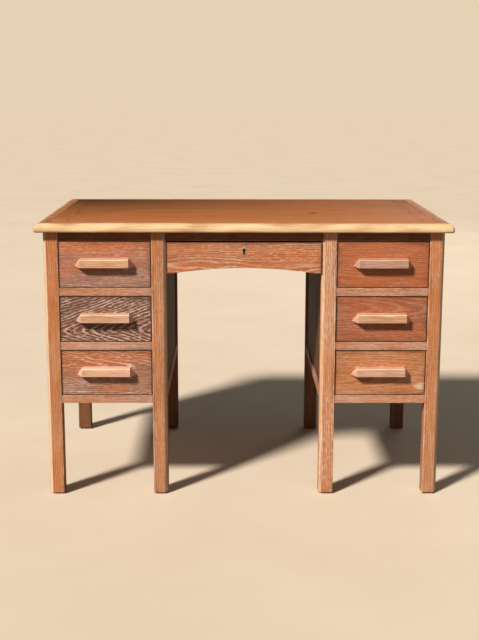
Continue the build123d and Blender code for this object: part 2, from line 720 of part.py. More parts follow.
def make_centre_drawer():
    half_x = INNER_X - DRAWER_SIDE_GAP
    z1 = centre_front_top()
    z0 = z1 - CENTRE_FRONT_H
    back_y = FRONT_Y + FRONT_T
    front = block(-half_x, half_x, FRONT_Y, back_y, z0, z1)
    spring = half_x - ARCH_FLAT
    arch_edges = [
        ThreePointArc((-spring, z0), (0, z0 + ARCH_RISE), (spring, z0)),
        Line((spring, z0), (-spring, z0)),
    ]
    arch_face = Plane.XZ * make_face(Curve() + arch_edges)
    arch = Pos(0, FRONT_Y, 0) * extrude(arch_face, amount=FRONT_T, dir=(0, 1, 0))
    lock_y = back_y - LOCK_T
    lock_pocket = block(-LOCK_W / 2, LOCK_W / 2, lock_y, back_y, z1 - LOCK_H, z1)

    box_half = INNER_X - CENTRE_GUIDE_T - CENTRE_GUIDE_CLEAR
    sides, back, bottom, front_cuts = drawer_box(
        0, box_half, CENTRE_SIDE_T, centre_side_bottom(), CENTRE_SIDE_H, CENTRE_L, CENTRE_TAILS
    )
    front = cut(front - arch - lock_pocket - keyhole(FRONT_Y, lock_y), front_cuts)
    keep("drawer_centre_front", front)
    keep("drawer_centre_sides", sides)
    keep("drawer_centre_back", back)
    keep("drawer_centre_bottom", bottom)

    bolt_y = back_y - LOCK_T / 2
    room_x = BOLT_W / 2 + BOLT_CLEAR
    room_y = BOLT_T / 2 + BOLT_CLEAR
    slot = block(-room_x, room_x, bolt_y - room_y, bolt_y + room_y, z1 - BOLT_H - BOLT_CLEAR, z1)
    case = lock_pocket - slot - keyhole(lock_y, lock_y + KEY_POCKET)
    keep("lock_case", case)
    bolt = block(-BOLT_W / 2, BOLT_W / 2, bolt_y - BOLT_T / 2, bolt_y + BOLT_T / 2, z1 - BOLT_H, z1)
    keep("lock_bolt", bolt)

    plate_face = Plane.XZ * (Rot(0, 0, 90) * SlotOverall(ESCUTCHEON_H, ESCUTCHEON_W))
    plate = extrude(plate_face, amount=ESCUTCHEON_T, dir=(0, -1, 0))
    plate = Pos(0, FRONT_Y, z1 - KEYHOLE_DOWN) * plate
    keep("lock_escutcheon", plate - keyhole(FRONT_Y - ESCUTCHEON_T, FRONT_Y))


# ---- the whole desk -----------------------------------------------------
make_front_top_rails()
make_drawer_rails()
make_back_rails()
make_kneehole_back_rail()
make_sides()
make_back_panels()
make_legs()
make_top(make_buttons())
make_running_gear()
for side_name, hand in (("left", -1.0), ("right", 1.0)):
    for row, row_name in enumerate(("top", "middle", "bottom")):
        make_pedestal_drawer(f"drawer_{side_name}_{row_name}", hand * PEDESTAL_MID, row)
make_centre_drawer()

os.makedirs("parts", exist_ok=True)
for name, solids in nodes.items():
    shape = solids[0] if len(solids) == 1 else Compound(children=solids)
    shape.label = name
    export_step(shape, f"parts/{name}.step")
    print(f"{name}: {len(solids)} solid(s)")
print(f"{len(nodes)} nodes; drawer opening {OPENING_W:.0f} x {OPENING_H:.1f} mm")
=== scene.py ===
# %% [markdown]
# # An old oak teacher's desk
# This desk has two pedestals of three drawers, eight square legs, a shallow arched drawer over
# the kneehole and a moulded top. It was made in solid oak about seventy years ago, and its grain
# was filled with white lime that has since worn in some places and stayed in others.
# The file goes in the order a maker would work: first the place to work in (frame, camera,
# light), then the finishes (timber, metal), then the boards one group at a time.

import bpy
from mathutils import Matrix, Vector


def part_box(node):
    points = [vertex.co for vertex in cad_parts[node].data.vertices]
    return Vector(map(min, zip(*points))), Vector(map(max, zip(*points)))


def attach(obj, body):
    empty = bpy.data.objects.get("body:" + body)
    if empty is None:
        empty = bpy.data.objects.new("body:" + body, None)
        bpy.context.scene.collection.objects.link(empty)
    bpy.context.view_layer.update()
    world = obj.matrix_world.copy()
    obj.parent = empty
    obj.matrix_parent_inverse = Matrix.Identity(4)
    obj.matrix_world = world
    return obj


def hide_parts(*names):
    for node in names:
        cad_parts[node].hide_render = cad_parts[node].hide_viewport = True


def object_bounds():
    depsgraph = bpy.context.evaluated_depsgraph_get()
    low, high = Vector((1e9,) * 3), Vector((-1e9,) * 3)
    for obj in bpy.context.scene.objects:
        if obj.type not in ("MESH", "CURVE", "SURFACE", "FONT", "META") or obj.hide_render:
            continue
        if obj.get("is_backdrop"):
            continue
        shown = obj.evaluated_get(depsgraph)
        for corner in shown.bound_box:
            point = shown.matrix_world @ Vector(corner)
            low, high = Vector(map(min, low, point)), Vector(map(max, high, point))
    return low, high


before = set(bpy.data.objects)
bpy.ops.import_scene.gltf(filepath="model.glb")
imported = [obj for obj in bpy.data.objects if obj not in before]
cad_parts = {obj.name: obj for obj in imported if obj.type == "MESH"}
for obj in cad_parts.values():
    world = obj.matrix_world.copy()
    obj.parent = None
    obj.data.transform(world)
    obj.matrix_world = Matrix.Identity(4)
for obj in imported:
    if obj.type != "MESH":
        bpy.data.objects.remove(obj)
cad_low, cad_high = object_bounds()


def short(values, digits=3):
    """Rounds numbers for printing."""
    return [round(value, digits) for value in values]


print("desk, low corner:", short(cad_low), "high corner:", short(cad_high))

# %% Tools of the trade
import math
from functools import partialmethod

import bmesh
import bpy
from mathutils import Quaternion, Vector, noise

MM = 0.001


def paint(red, green, blue):
    """A colour as a paint chart gives it, 0 to 255, turned into the linear values that light needs."""
    channels = []
    for value in (red, green, blue):
        share = value / 255
        channels.append(share / 12.92 if share <= 0.04045 else ((share + 0.055) / 1.055) ** 2.4)
    return (*channels, 1.0)


# %% [markdown]
# ## Where to stand
# A desk is looked at from a standing person's chest height, about three metres away, and a long
# lens keeps its legs nearly parallel. A constraint could aim the camera at the desk, but a fixed
# place and direction give the same picture every time.

# %% Camera
EYE = Vector((-0.0384, -3.3798, 1.1190))
LOOKING = Vector((0.00850, 0.97984, -0.19960))
LENS = 64.41
ROLL_DEGREES = 0.143

lens = bpy.data.cameras.new("standing_view")
lens.lens = LENS
lens.sensor_width = 36.0
lens.clip_end = 200.0
camera = bpy.data.objects.new("standing_view", lens)
camera.location = EYE
camera.rotation_mode = "QUATERNION"
level = LOOKING.to_track_quat("-Z", "Y")
camera.rotation_quaternion = level @ Quaternion((0.0, 0.0, 1.0), math.radians(ROLL_DEGREES))
bpy.context.scene.collection.objects.link(camera)
bpy.context.scene.camera = camera
print("camera", short(camera.location, 2), "lens", LENS)

# %% [markdown]
# ## Light
# Furniture is easiest to read under one warm main light from the front left, which shows the
# moulding and the pulls by their shadows, with a weak fill that keeps the kneehole from going
# black and a light from behind for the far edge of the top. The main light is a sun lamp with a
# wide disc: it lights the whole floor evenly, where a nearby lamp would leave its far part dark.

# %% Lights
DESK_MIDDLE = Vector((0.0, -0.2, 0.5))
SOFT_WHITE = (1.0, 0.95, 0.90)
SOFT_SIZE = 3.0
SUN_WARM = (1.0, 0.90, 0.78)
SUN_DISC = math.radians(8)
SUN_SIDE = math.radians(42)
SUN_HEIGHT = math.radians(40)


def hang(data, place, facing, strength, colour):
    """Puts a light at its place and turns it the way it faces."""
    data.energy = strength
    data.color = colour
    lamp = bpy.data.objects.new(data.name, data)
    lamp.location = place
    lamp.rotation_euler = facing.to_track_quat("-Z", "Y").to_euler()
    bpy.context.scene.collection.objects.link(lamp)


for name, place, strength in (
    ("fill_light", (3.4, -4.6, 2.4), 10.0),
    ("back_light", (2.4, 4.8, 3.2), 26.0),
):
    wide = bpy.data.lights.new(name, "AREA")
    wide.shape = "SQUARE"
    wide.size = SOFT_SIZE
    hang(wide, place, DESK_MIDDLE - Vector(place), strength, SOFT_WHITE)

sun = bpy.data.lights.new("main_light", "SUN")
sun.angle = SUN_DISC
level = math.cos(SUN_HEIGHT)
shining = Vector((math.sin(SUN_SIDE) * level, math.cos(SUN_SIDE) * level, -math.sin(SUN_HEIGHT)))
hang(sun, (0.0, 0.0, 0.0), shining, 4.1, SUN_WARM)
bpy.context.scene.view_settings.view_transform = "Standard"

# %% [markdown]
# ## A bench for shader nodes
# Every finish below is made of nodes. Adding a node and its links by hand takes four lines, so
# this small class does it in one. `feed` takes either another node's output or a plain number,
# which makes the short forms possible, and `times_plus` is one node that multiplies its first
# two values and adds the third.

# %% The bench
class Bench:
    """Adds nodes to one tree and joins them."""

    def __init__(self, tree):
        self.tree = tree

    def node(self, kind, **settings):
        made = self.tree.nodes.new(kind)
        for key, value in settings.items():
            setattr(made, key, value)
        return made

    def feed(self, socket, value):
        if isinstance(value, bpy.types.NodeSocket):
            self.tree.links.new(value, socket)
        else:
            socket.default_value = value

    def math(self, operation, *values, clamp=False):
        made = self.node("ShaderNodeMath", operation=operation, use_clamp=clamp)
        for socket, value in zip(made.inputs, values):
            self.feed(socket, value)
        return made.outputs[0]

    plus = partialmethod(math, "ADD")
    less = partialmethod(math, "SUBTRACT")
    times = partialmethod(math, "MULTIPLY")
    over = partialmethod(math, "DIVIDE")
    times_plus = partialmethod(math, "MULTIPLY_ADD")
    greater = partialmethod(math, "MAXIMUM")

    def vector(self, operation, *values):
        made = self.node("ShaderNodeVectorMath", operation=operation)
        for socket, value in zip(made.inputs, values):
            self.feed(socket, value)
        return made.outputs[0]

    def ramp(self, value, start, end, low=0.0, high=1.0):
        """Goes smoothly from low to high as value goes from start to end."""
        made = self.node("ShaderNodeMapRange", interpolation_type="SMOOTHSTEP")
        for socket, number in zip(made.inputs, (value, start, end, low, high)):
            self.feed(socket, number)
        return made.outputs["Result"]

    def blend(self, share, first, second):
        made = self.node("ShaderNodeMix", data_type="RGBA", clamp_factor=True)
        for index, value in ((0, share), (6, first), (7, second)):
            self.feed(made.inputs[index], value)
        return made.outputs[2]

    def cloud(self, place, stretch, detail=2.0, roughness=0.5):
        """Noise with its own size along each direction, in waves per metre."""
        made = self.node("ShaderNodeTexNoise")
        self.feed(made.inputs["Vector"], self.vector("MULTIPLY", place, stretch))
        made.inputs["Scale"].default_value = 1.0
        made.inputs["Detail"].default_value = detail
        made.inputs["Roughness"].default_value = roughness
        return made.outputs[0]

    def split(self, place):
        made = self.node("ShaderNodeSeparateXYZ")
        self.feed(made.inputs[0], place)
        return made.outputs

    def join(self, first, second, third):
        made = self.node("ShaderNodeCombineXYZ")
        for socket, value in zip(made.inputs, (first, second, third)):
            self.feed(socket, value)
        return made.outputs[0]

    def effect(self, group, **inputs):
        """Places a node group; the words of an input's name are joined by _ here."""
        made = self.node("ShaderNodeGroup", node_tree=group)
        for key, value in inputs.items():
            self.feed(made.inputs[key.replace("_", " ")], value)
        return made.outputs


# %% Start a node group
SOCKETS = {1: "NodeSocketFloat", 3: "NodeSocketVector", 4: "NodeSocketColor"}


def start_effect(name, outputs, **inputs):
    """A new node group, its bench, its inputs and its output node; _ in a name is a space."""
    group = bpy.data.node_groups.new(name, "ShaderNodeTree")
    for label, value in inputs.items():
        kind = SOCKETS[len(value) if isinstance(value, tuple) else 1]
        socket = group.interface.new_socket(label.replace("_", " "), in_out="INPUT", socket_type=kind)
        socket.default_value = value
    for label in outputs:
        kind = SOCKETS[4 if label == "Colour" else 1]
        group.interface.new_socket(label, in_out="OUTPUT", socket_type=kind)
    bench = Bench(group)
    given = bench.node("NodeGroupInput").outputs
    result = bench.node("NodeGroupOutput").inputs
    return group, bench, given, result


# %% [markdown]
# ## Oak figure
# Oak shows its yearly rings as lines: each ring starts with a row of wide open pores and ends in
# dense wood. A board is a slice of a trunk, so its figure is the rings cut by a flat face, arches
# near the pith and straight lines far from it. A wave texture would run the same on every face.
# Here the rings are real circles round a pith that wanders beside the board, so the figure turns
# correctly over the edges and onto the end grain. The place that every timber effect reads is in
# the board's own directions, in metres from its middle: along the grain, into the thickness and
# across the width.

# %% Oak figure
MIDDLE = (0.0, 0.0, 0.0)
WHOLE = (1.0, 1.0, 1.0)
oak_figure, on, given, result = start_effect(
    "oak figure", ("Early wood", "Late wood", "Streaks", "Dashes", "Pores", "Flecks"),
    Place=MIDDLE, Seed=0.0, Ring_width=0.005, Pith_depth=0.05,
    Pith_side=0.0, Lean=0.05, Taper=0.0, Waver=0.01,
)
far = on.vector("MULTIPLY", on.join(given["Seed"], given["Seed"], given["Seed"]), (3.7, 1.9, 5.3))
moved = on.vector("ADD", given["Place"], far)
along, depth, across = on.split(given["Place"])
slow = on.less(on.cloud(moved, (3.0, 7.0, 7.0), 2.0), 0.5)
quick = on.less(on.cloud(moved, (17.0, 60.0, 60.0), 2.0), 0.5)
drift = on.less(on.cloud(moved, (2.2, 3.0, 3.0), 1.0), 0.5)
wander = on.times(on.times_plus(quick, 0.22, slow), given["Waver"])
print("oak figure, the pith's way:", len(oak_figure.nodes), "nodes")

# %% Oak figure: the rings
side = on.plus(on.plus(across, given["Pith side"]), wander)
leaning = on.times_plus(along, given["Lean"], given["Pith depth"])
leaning = on.times_plus(drift, given["Waver"], leaning)
deep = on.plus(leaning, depth)
square = on.times_plus(side, side, on.times(deep, deep))
radius = on.math("SQRT", square)
tapered = on.times_plus(along, given["Taper"], radius)
rings = on.over(tapered, given["Ring width"])
uneven = on.less(on.cloud(moved, (6.0, 40.0, 40.0), 1.0), 0.5)
rings = on.times_plus(uneven, 0.45, rings)
share = on.math("FRACT", rings)
year = on.node("ShaderNodeTexWhiteNoise", noise_dimensions="1D")
on.feed(year.inputs["W"], on.plus(on.math("FLOOR", rings), given["Seed"]))
strength = on.times_plus(year.outputs["Value"], 0.6, 0.4)
opening = on.ramp(share, 0.0, 0.12)
closing = on.ramp(share, 0.2, 0.5, 1.0, 0.0)
early = on.times(on.times(opening, closing), strength)
print("oak figure with rings:", len(oak_figure.nodes), "nodes")

# %% Oak figure: pores, dashes and flecks
pore_noise = on.cloud(moved, (42.0, 900.0, 900.0), 2.0, 0.6)
pore_room = on.times_plus(early, 0.16, pore_noise)
dash_noise = on.cloud(moved, (62.0, 300.0, 300.0), 2.0, 0.6)
dash_room = on.times_plus(early, 0.12, dash_noise)
on.feed(result["Early wood"], early)
on.feed(result["Late wood"], on.times(on.ramp(share, 0.5, 0.92), strength))
on.feed(result["Streaks"], on.ramp(on.cloud(moved, (13.0, 280.0, 280.0), 3.0, 0.62), 0.42, 0.62))
on.feed(result["Dashes"], on.ramp(dash_room, 0.53, 0.63))
on.feed(result["Pores"], on.ramp(pore_room, 0.6, 0.7))
on.feed(result["Flecks"], on.ramp(on.cloud(moved, (60.0, 25.0, 320.0), 1.0), 0.64, 0.72))
print("oak figure:", len(oak_figure.nodes), "nodes")

# %% [markdown]
# ## Worn arrises and old dirt
# Hands and dusters rub the varnish off a board's arrises (its long corners), so they go pale,
# while dirt settles in a dark band beside them. Both need to know how far a point is from the
# nearest arris. Of the three distances to a box's pairs of faces, the smallest is to the face
# that the point lies on, and the middle one is to the nearest arris. That needs no dense mesh,
# as a pointiness attribute would.

# %% Distance to the nearest arris
arris_distance, on, given, result = start_effect(
    "distance to arris", ("Distance", "From end"), Place=MIDDLE, Half_size=WHOLE
)
room = on.vector("SUBTRACT", given["Half size"], on.vector("ABSOLUTE", given["Place"]))
first, second, third = on.split(room)
lower = on.math("MINIMUM", first, second)
upper = on.greater(first, second)
on.feed(result["Distance"], on.greater(lower, on.math("MINIMUM", upper, third)))
on.feed(result["From end"], first)
print("distance to arris:", len(arris_distance.nodes), "nodes")

# %% Rubbed arrises
rubbed, on, given, result = start_effect(
    "rubbed arrises", ("Worn", "Dirt"), Place=MIDDLE, Half_size=WHOLE, Seed=0.0, Width=0.004
)
gap = on.effect(arris_distance, Place=given["Place"], Half_size=given["Half size"])
seeded = on.vector("ADD", given["Place"], on.join(given["Seed"], 2.0, 5.0))
patchy = on.cloud(seeded, (30.0, 70.0, 70.0), 3.0, 0.6)
reach = on.times(given["Width"], on.ramp(patchy, 0.35, 0.7, 0.15, 1.6))
near = on.over(gap["Distance"], reach)
on.feed(result["Worn"], on.ramp(near, 0.25, 1.0, 1.0, 0.0))
beside = on.ramp(gap["Distance"], 0.0015, 0.016, 1.0, 0.0)
blotch = on.ramp(on.cloud(seeded, (9.0, 26.0, 26.0), 3.0, 0.6), 0.42, 0.68)
at_end = on.ramp(gap["From end"], 0.0008, 0.005, 0.9, 0.0)
on.feed(result["Dirt"], on.greater(on.times(beside, blotch), at_end))
print("rubbed arrises:", len(rubbed.nodes), "nodes")

# %% [markdown]
# ## Scratches
# A school desk collects fine straight scratches in all directions. Noise that is stretched sixty
# to one and cut at a narrow level gives short hairlines, and three layers at different angles
# keep them from looking combed.

# %% Scratches
scratches, on, given, result = start_effect("scratches", ("Lines",), Place=MIDDLE, Seed=0.0)
layers = []
for turn, offset in ((0.5, 3.0), (-0.9, 11.0), (1.35, 23.0)):
    turned = on.node("ShaderNodeMapping")
    on.feed(turned.inputs["Vector"], given["Place"])
    turned.inputs["Rotation"].default_value = (0.0, turn, 0.0)
    moved = on.vector("ADD", turned.outputs[0], on.join(given["Seed"], offset, given["Seed"]))
    level = on.cloud(moved, (5.0, 5.0, 300.0), 1.0)
    line = on.ramp(on.math("ABSOLUTE", on.less(level, 0.5)), 0.0, 0.006, 1.0, 0.0)
    where = on.ramp(on.cloud(moved, (8.0, 8.0, 14.0), 2.0), 0.54, 0.62)
    layers.append(on.times(line, where))
on.feed(result["Lines"], on.greater(layers[0], on.greater(layers[1], layers[2])))
print("scratches:", len(layers), "layers and", len(scratches.nodes), "nodes")

# %% [markdown]
# ## Aged limed oak
# All the outside timber has one history: oak, white lime rubbed into its grain, a brown-orange
# varnish over it, and seventy years of wear. One recipe holds it, and each board only says how
# much of each it has. `Tone` makes a board lighter or darker, as boards from different trees
# are, and on some boards it darkens them as painted shade. `Rub` comes from the mesh where a
# shape itself says what hands touch.

# %% Aged oak
OLD_DIRT = paint(74, 44, 32)
GAP_SHADE = paint(58, 34, 26)
aged_oak, on, given, result = start_effect(
    "aged oak", ("Colour", "Roughness", "Height"),
    Place=MIDDLE, Half_size=WHOLE, Seed=0.0, Tone=0.0, Lime=0.3, Rub=0.0,
    Varnish=paint(196, 118, 70), Bare=paint(188, 128, 104), Bareness=0.6,
    Shadow=paint(140, 78, 48), Lime_colour=paint(224, 196, 172), Worn_colour=paint(226, 178, 130),
    Ring_width=0.005, Pith_depth=0.05, Pith_side=0.0, Lean=0.05, Taper=0.0, Waver=0.012,
    Varnish_line=5.0, Rim=0.0, Wear=0.8, Dirt=0.5,
)
RING_NAMES = ("Place", "Seed", "Ring width", "Pith depth", "Pith side", "Lean", "Taper", "Waver")
figure = on.effect(oak_figure, **{name.replace(" ", "_"): given[name] for name in RING_NAMES})
edges = on.effect(rubbed, Place=given["Place"], Half_size=given["Half size"], Seed=given["Seed"])
lines = on.effect(scratches, Place=given["Place"], Seed=given["Seed"])["Lines"]
seeded = on.vector("ADD", given["Place"], on.join(given["Seed"], given["Seed"], 7.0))
print("aged oak takes", len(given), "inputs")

# %% Aged oak: varnish and bare wood
patches = on.ramp(on.cloud(seeded, (3.5, 14.0, 14.0), 3.0, 0.6), 0.4, 0.6)
bare = on.times(on.times_plus(patches, 0.75, 0.25), given["Bareness"])
ragged = on.less(on.cloud(seeded, (14.0, 60.0, 60.0), 3.0, 0.6), 0.5)
ragged = on.times(ragged, 0.9)
above = on.over(on.split(given["Place"])[2], on.split(given["Half size"])[2])
above = on.less(on.plus(above, ragged), given["Varnish line"])
bare = on.times(bare, on.ramp(above, -0.12, 0.12, 1.0, 0.0))
colour = on.blend(bare, given["Varnish"], given["Bare"])
colour = on.blend(on.times(figure["Streaks"], 0.42), colour, given["Shadow"])
colour = on.blend(on.times(figure["Late wood"], 0.4), colour, given["Shadow"])
print("aged oak, varnished:", len(aged_oak.nodes), "nodes")

# %% Aged oak: lime in the grain
kept = on.ramp(on.cloud(seeded, (7.0, 26.0, 26.0), 3.0, 0.6), 0.36, 0.58, 0.3, 1.0)
filled = on.times_plus(figure["Dashes"], 0.7, on.times(figure["Early wood"], 0.75))
filled = on.times_plus(figure["Pores"], 0.2, filled)
filled = on.times(on.times(filled, kept), given["Lime"], clamp=True)
colour = on.blend(filled, colour, given["Lime colour"])
empty = on.less(figure["Pores"], on.times(filled, 1.6), clamp=True)
colour = on.blend(on.times(empty, 0.42), colour, given["Shadow"])
colour = on.blend(on.times(figure["Flecks"], 0.22), colour, given["Lime colour"])
print("aged oak, limed:", len(aged_oak.nodes), "nodes")

# %% Aged oak: wear and dirt
worn = on.greater(on.times(edges["Worn"], given["Wear"]), given["Rub"], clamp=True)
dirty = on.times(edges["Dirt"], given["Dirt"])
colour = on.blend(on.times(dirty, 0.75), colour, OLD_DIRT)
grained = on.times_plus(figure["Streaks"], -0.28, 0.86)
colour = on.blend(on.times(worn, grained), colour, given["Worn colour"])
colour = on.blend(on.times(lines, 0.3), colour, given["Worn colour"])
gap = on.effect(arris_distance, Place=given["Place"], Half_size=given["Half size"])["Distance"]
# Rim paints shade as a thin dark line along a front's edges, the shade in the gap round a drawer front.
rim = on.times(on.ramp(gap, 0.0012, 0.0032, 1.0, 0.0), given["Rim"])
colour = on.blend(rim, colour, GAP_SHADE)
shaded = on.node("ShaderNodeHueSaturation")
on.feed(shaded.inputs["Color"], colour)
on.feed(shaded.inputs["Value"], on.times_plus(given["Tone"], 0.3, 1.0))
on.feed(result["Colour"], shaded.outputs[0])
print("aged oak, worn:", len(aged_oak.nodes), "nodes")

# %% Aged oak: roughness and relief
rough = on.times_plus(figure["Early wood"], 0.14, 0.42)
rough = on.times_plus(worn, 0.16, rough)
rough = on.times_plus(patches, 0.08, rough)
on.feed(result["Roughness"], on.times_plus(dirty, 0.1, rough))
height = on.times_plus(figure["Pores"], -0.7, on.times(figure["Streaks"], 0.25))
height = on.times_plus(figure["Early wood"], -0.35, height)
on.feed(result["Height"], on.times_plus(lines, -0.5, height))
print("aged oak:", len(aged_oak.nodes), "nodes")

# %% [markdown]
# ## Timber materials
# A material is the recipe above with its own numbers, plus the shader itself. Boards that are
# modelled below carry their place, half size, seed, tone and lime in the mesh, so one material
# serves many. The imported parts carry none, so their materials work the place out from the part's
# coordinates and its box. `order` says which of x, y and z is along the grain, into the
# thickness and across the width. `pair` folds a part's left and right boards onto each other,
# with a different seed for each.

# %% Where a board is
def place_from_mesh(on):
    """The board's own coordinates, which the mesh carries as attributes."""
    read = {}
    for label in ("place", "half", "board", "rub"):
        read[label] = on.node("ShaderNodeAttribute", attribute_name=label)
    seed, tone, lime = on.split(read["board"].outputs["Vector"])
    return {
        "Place": read["place"].outputs["Vector"],
        "Half_size": read["half"].outputs["Vector"],
        "Seed": seed,
        "Tone": tone,
        "Lime": lime,
        "Rub": read["rub"].outputs["Fac"],
    }


def place_from_part(on, node, order, seed, pair=False):
    """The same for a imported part, from its box."""
    low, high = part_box(node)
    middle = (low + high) / 2
    half = (high - low) / 2
    here = on.node("ShaderNodeTexCoord").outputs["Object"]
    steps = list(on.split(on.vector("SUBTRACT", here, tuple(middle))))
    given_seed = seed
    if pair:
        board_low, board_high = boards_of(node)[0]
        thickness = board_high[0] - board_low[0]
        hand = on.math("SIGN", steps[0])
        given_seed = on.times_plus(hand, 4.3, seed)
        steps[0] = on.less(on.math("ABSOLUTE", steps[0]), half[0] - thickness / 2)
        half = Vector((thickness / 2, half[1], half[2]))
    return {
        "Place": on.join(*[steps[i] for i in order]),
        "Half_size": tuple(half[i] for i in order),
        "Seed": given_seed,
    }


# %% Make a timber material
GRAIN_DEPTH = 0.5 * MM
GRAIN_STRENGTH = 0.35


def timber(name, placed, gloss=0.5, **looks):
    """A material of aged oak; placed makes the place, and looks are the recipe's own inputs."""
    material = bpy.data.materials.new(name)
    material.use_nodes = True
    on = Bench(material.node_tree)
    shader = material.node_tree.nodes["Principled BSDF"]
    inputs = dict(placed(on))
    for key, value in looks.items():
        inputs[key] = paint(*value) if isinstance(value, tuple) else value
    made = on.effect(aged_oak, **inputs)
    on.feed(shader.inputs["Base Color"], made["Colour"])
    on.feed(shader.inputs["Roughness"], made["Roughness"])
    relief = on.node("ShaderNodeBump")
    relief.inputs["Distance"].default_value = GRAIN_DEPTH
    relief.inputs["Strength"].default_value = GRAIN_STRENGTH
    on.feed(relief.inputs["Height"], made["Height"])
    on.feed(shader.inputs["Normal"], relief.outputs[0])
    shader.inputs["Specular IOR Level"].default_value = gloss
    return material


# %% Timbers of the carcass, the top and the pulls
top_oak = timber(
    "top_oak", place_from_mesh, gloss=0.2,
    Varnish=(224, 134, 68), Bare=(216, 144, 92), Bareness=0.55, Shadow=(164, 94, 50),
    Lime_colour=(226, 172, 122), Ring_width=0.011, Pith_depth=0.16, Lean=0.04, Waver=0.05,
    Wear=0.5, Dirt=0.5,
)
edging_oak = timber(
    "edging_oak", place_from_mesh, gloss=0.3,
    Varnish=(206, 124, 64), Bare=(204, 138, 88), Shadow=(158, 88, 48),
    Worn_colour=(253, 230, 182), Ring_width=0.005, Wear=0.6, Dirt=0.3,
)
leg_oak = timber(
    "leg_oak", place_from_mesh,
    Varnish=(218, 132, 70), Bare=(220, 160, 116), Bareness=0.75, Shadow=(158, 88, 48),
    Worn_colour=(255, 232, 196), Lime_colour=(226, 206, 190), Ring_width=0.004,
    Pith_depth=0.045, Pith_side=0.03, Lean=0.01, Waver=0.008, Wear=0.4, Dirt=0.4,
)
rail_oak = timber(
    "rail_oak", place_from_mesh,
    Varnish=(216, 136, 86), Bare=(224, 172, 148), Bareness=0.9, Shadow=(150, 92, 68),
    Lime_colour=(230, 208, 192), Ring_width=0.003, Pith_depth=0.07, Pith_side=0.05,
    Waver=0.006, Wear=0.35, Dirt=0.6,
)
panel_oak = timber(
    "panel_oak", place_from_mesh, gloss=0.2,
    Varnish=(190, 116, 66), Bare=(190, 128, 88), Shadow=(130, 74, 44),
    Ring_width=0.012, Pith_depth=0.12, Waver=0.03, Dirt=0.5,
)
pull_oak = timber(
    "pull_oak", place_from_mesh,
    Varnish=(238, 180, 128), Bare=(246, 198, 180), Bareness=0.85, Shadow=(176, 118, 86),
    Worn_colour=(255, 230, 208), Ring_width=0.004, Pith_depth=0.03, Waver=0.004, Dirt=0.2,
)
print("timber materials:", [m.name for m in bpy.data.materials if m.name.endswith("_oak")])

# %% [markdown]
# Two places on the desk have a mark of their own: a small dark burn on the writing surface, and a
# pale patch low on one drawer front, where the varnish came off.

# %% One spot
def spot(material, at, size, colour, rags=3.0):
    """Adds one spot to a timber at its place along and across the board; rags tear its outline."""
    on = Bench(material.node_tree)
    shader = material.node_tree.nodes["Principled BSDF"]
    before = shader.inputs["Base Color"].links[0].from_socket
    place = before.node.inputs["Place"].links[0].from_socket
    along, depth, across = on.split(place)
    steps = []
    for value, middle, reach in ((along, at[0], size[0]), (across, at[1], size[1])):
        step = on.over(on.less(value, middle), reach)
        steps.append(on.times(step, step))
    away = on.math("SQRT", on.plus(*steps))
    ragged = on.less(on.cloud(place, (50.0, 330.0, 330.0), 3.0, 0.6), 0.5)
    away = on.times_plus(ragged, rags, away)
    covered = on.ramp(away, 0.4, 1.0, 0.85, 0.0)
    on.feed(shader.inputs["Base Color"], on.blend(covered, before, paint(*colour)))


spot(top_oak, (0.200, -0.082), (0.024, 0.015), (46, 26, 18), rags=2.0)

# %% [markdown]
# ## Boards
# The legs, rails and panels are straight boards, but none has a sharp or even corner any more,
# and a cube with a bevel modifier would have the same bevel all the way along. So each board is a
# row of cross-sections whose corners get a little rounder and sharper along the length. A
# section has four points at each of its four corners, so two neighbours are joined by plain
# four-sided faces.

# %% Cross-sections
def rounded(radius):
    """Four points of a round corner, each as its distances in from the two sides."""
    turns = (0.0, 30.0, 60.0, 90.0)
    return [
        (radius * (1 - math.sin(math.radians(t))), radius * (1 - math.cos(math.radians(t))))
        for t in turns
    ]


def chamfered(size):
    """The same for a flat chamfer with softened corners."""
    soft = 0.7 * MM
    return [(size + soft, 0.0), (size - soft, soft), (soft, size - soft), (0.0, size + soft)]


def section(low, high, corners):
    """Points round a rectangle from low to high, counter-clockwise from its lower left corner."""
    signs = ((0, 0), (1, 0), (1, 1), (0, 1))
    points = []
    for index, (side_a, side_b) in enumerate(signs):
        corner = corners[index]
        if index % 2 == 0:
            corner = corner[::-1]
        for in_a, in_b in corner:
            a = high[0] - in_a if side_a else low[0] + in_a
            b = high[1] - in_b if side_b else low[1] + in_b
            points.append((a, b))
    return points


# %% Stations along a board
def stations(start, end, step):
    """Evenly spaced places from start to end, no further apart than step."""
    count = max(1, math.ceil((end - start) / step))
    return [start + (end - start) * i / count for i in range(count + 1)]


def loft(mesh, rows):
    """Joins rows of points into a closed skin and returns its vertices."""
    made = [[mesh.verts.new(point) for point in row] for row in rows]
    for lower, upper in zip(made, made[1:]):
        for i in range(len(lower)):
            j = (i + 1) % len(lower)
            mesh.faces.new((lower[i], lower[j], upper[j], upper[i]))
    mesh.faces.new(made[0][::-1])
    mesh.faces.new(made[-1])
    return [vertex for row in made for vertex in row]


# %% A mesh that knows its boards
def start_mesh():
    mesh = bmesh.new()
    for label in ("place", "half", "board"):
        mesh.verts.layers.float_vector.new(label)
    mesh.verts.layers.float.new("rub")
    return mesh


def note(mesh, vertex, **values):
    """Writes what a vertex knows: its place, half size and board, or how rubbed it is."""
    for label, value in values.items():
        if label == "rub":
            vertex[mesh.verts.layers.float[label]] = value
        else:
            vertex[mesh.verts.layers.float_vector[label]] = Vector(value)


def mark(mesh, vertices, low, high, order, board):
    """Notes each vertex's place in its board, the half size, and the seed, tone and lime."""
    middle = (low + high) / 2
    half = (high - low) / 2
    for vertex in vertices:
        place = vertex.co - middle
        note(mesh, vertex, place=[place[i] for i in order], half=[half[i] for i in order], board=board)


# %% One board
STATION = 35 * MM


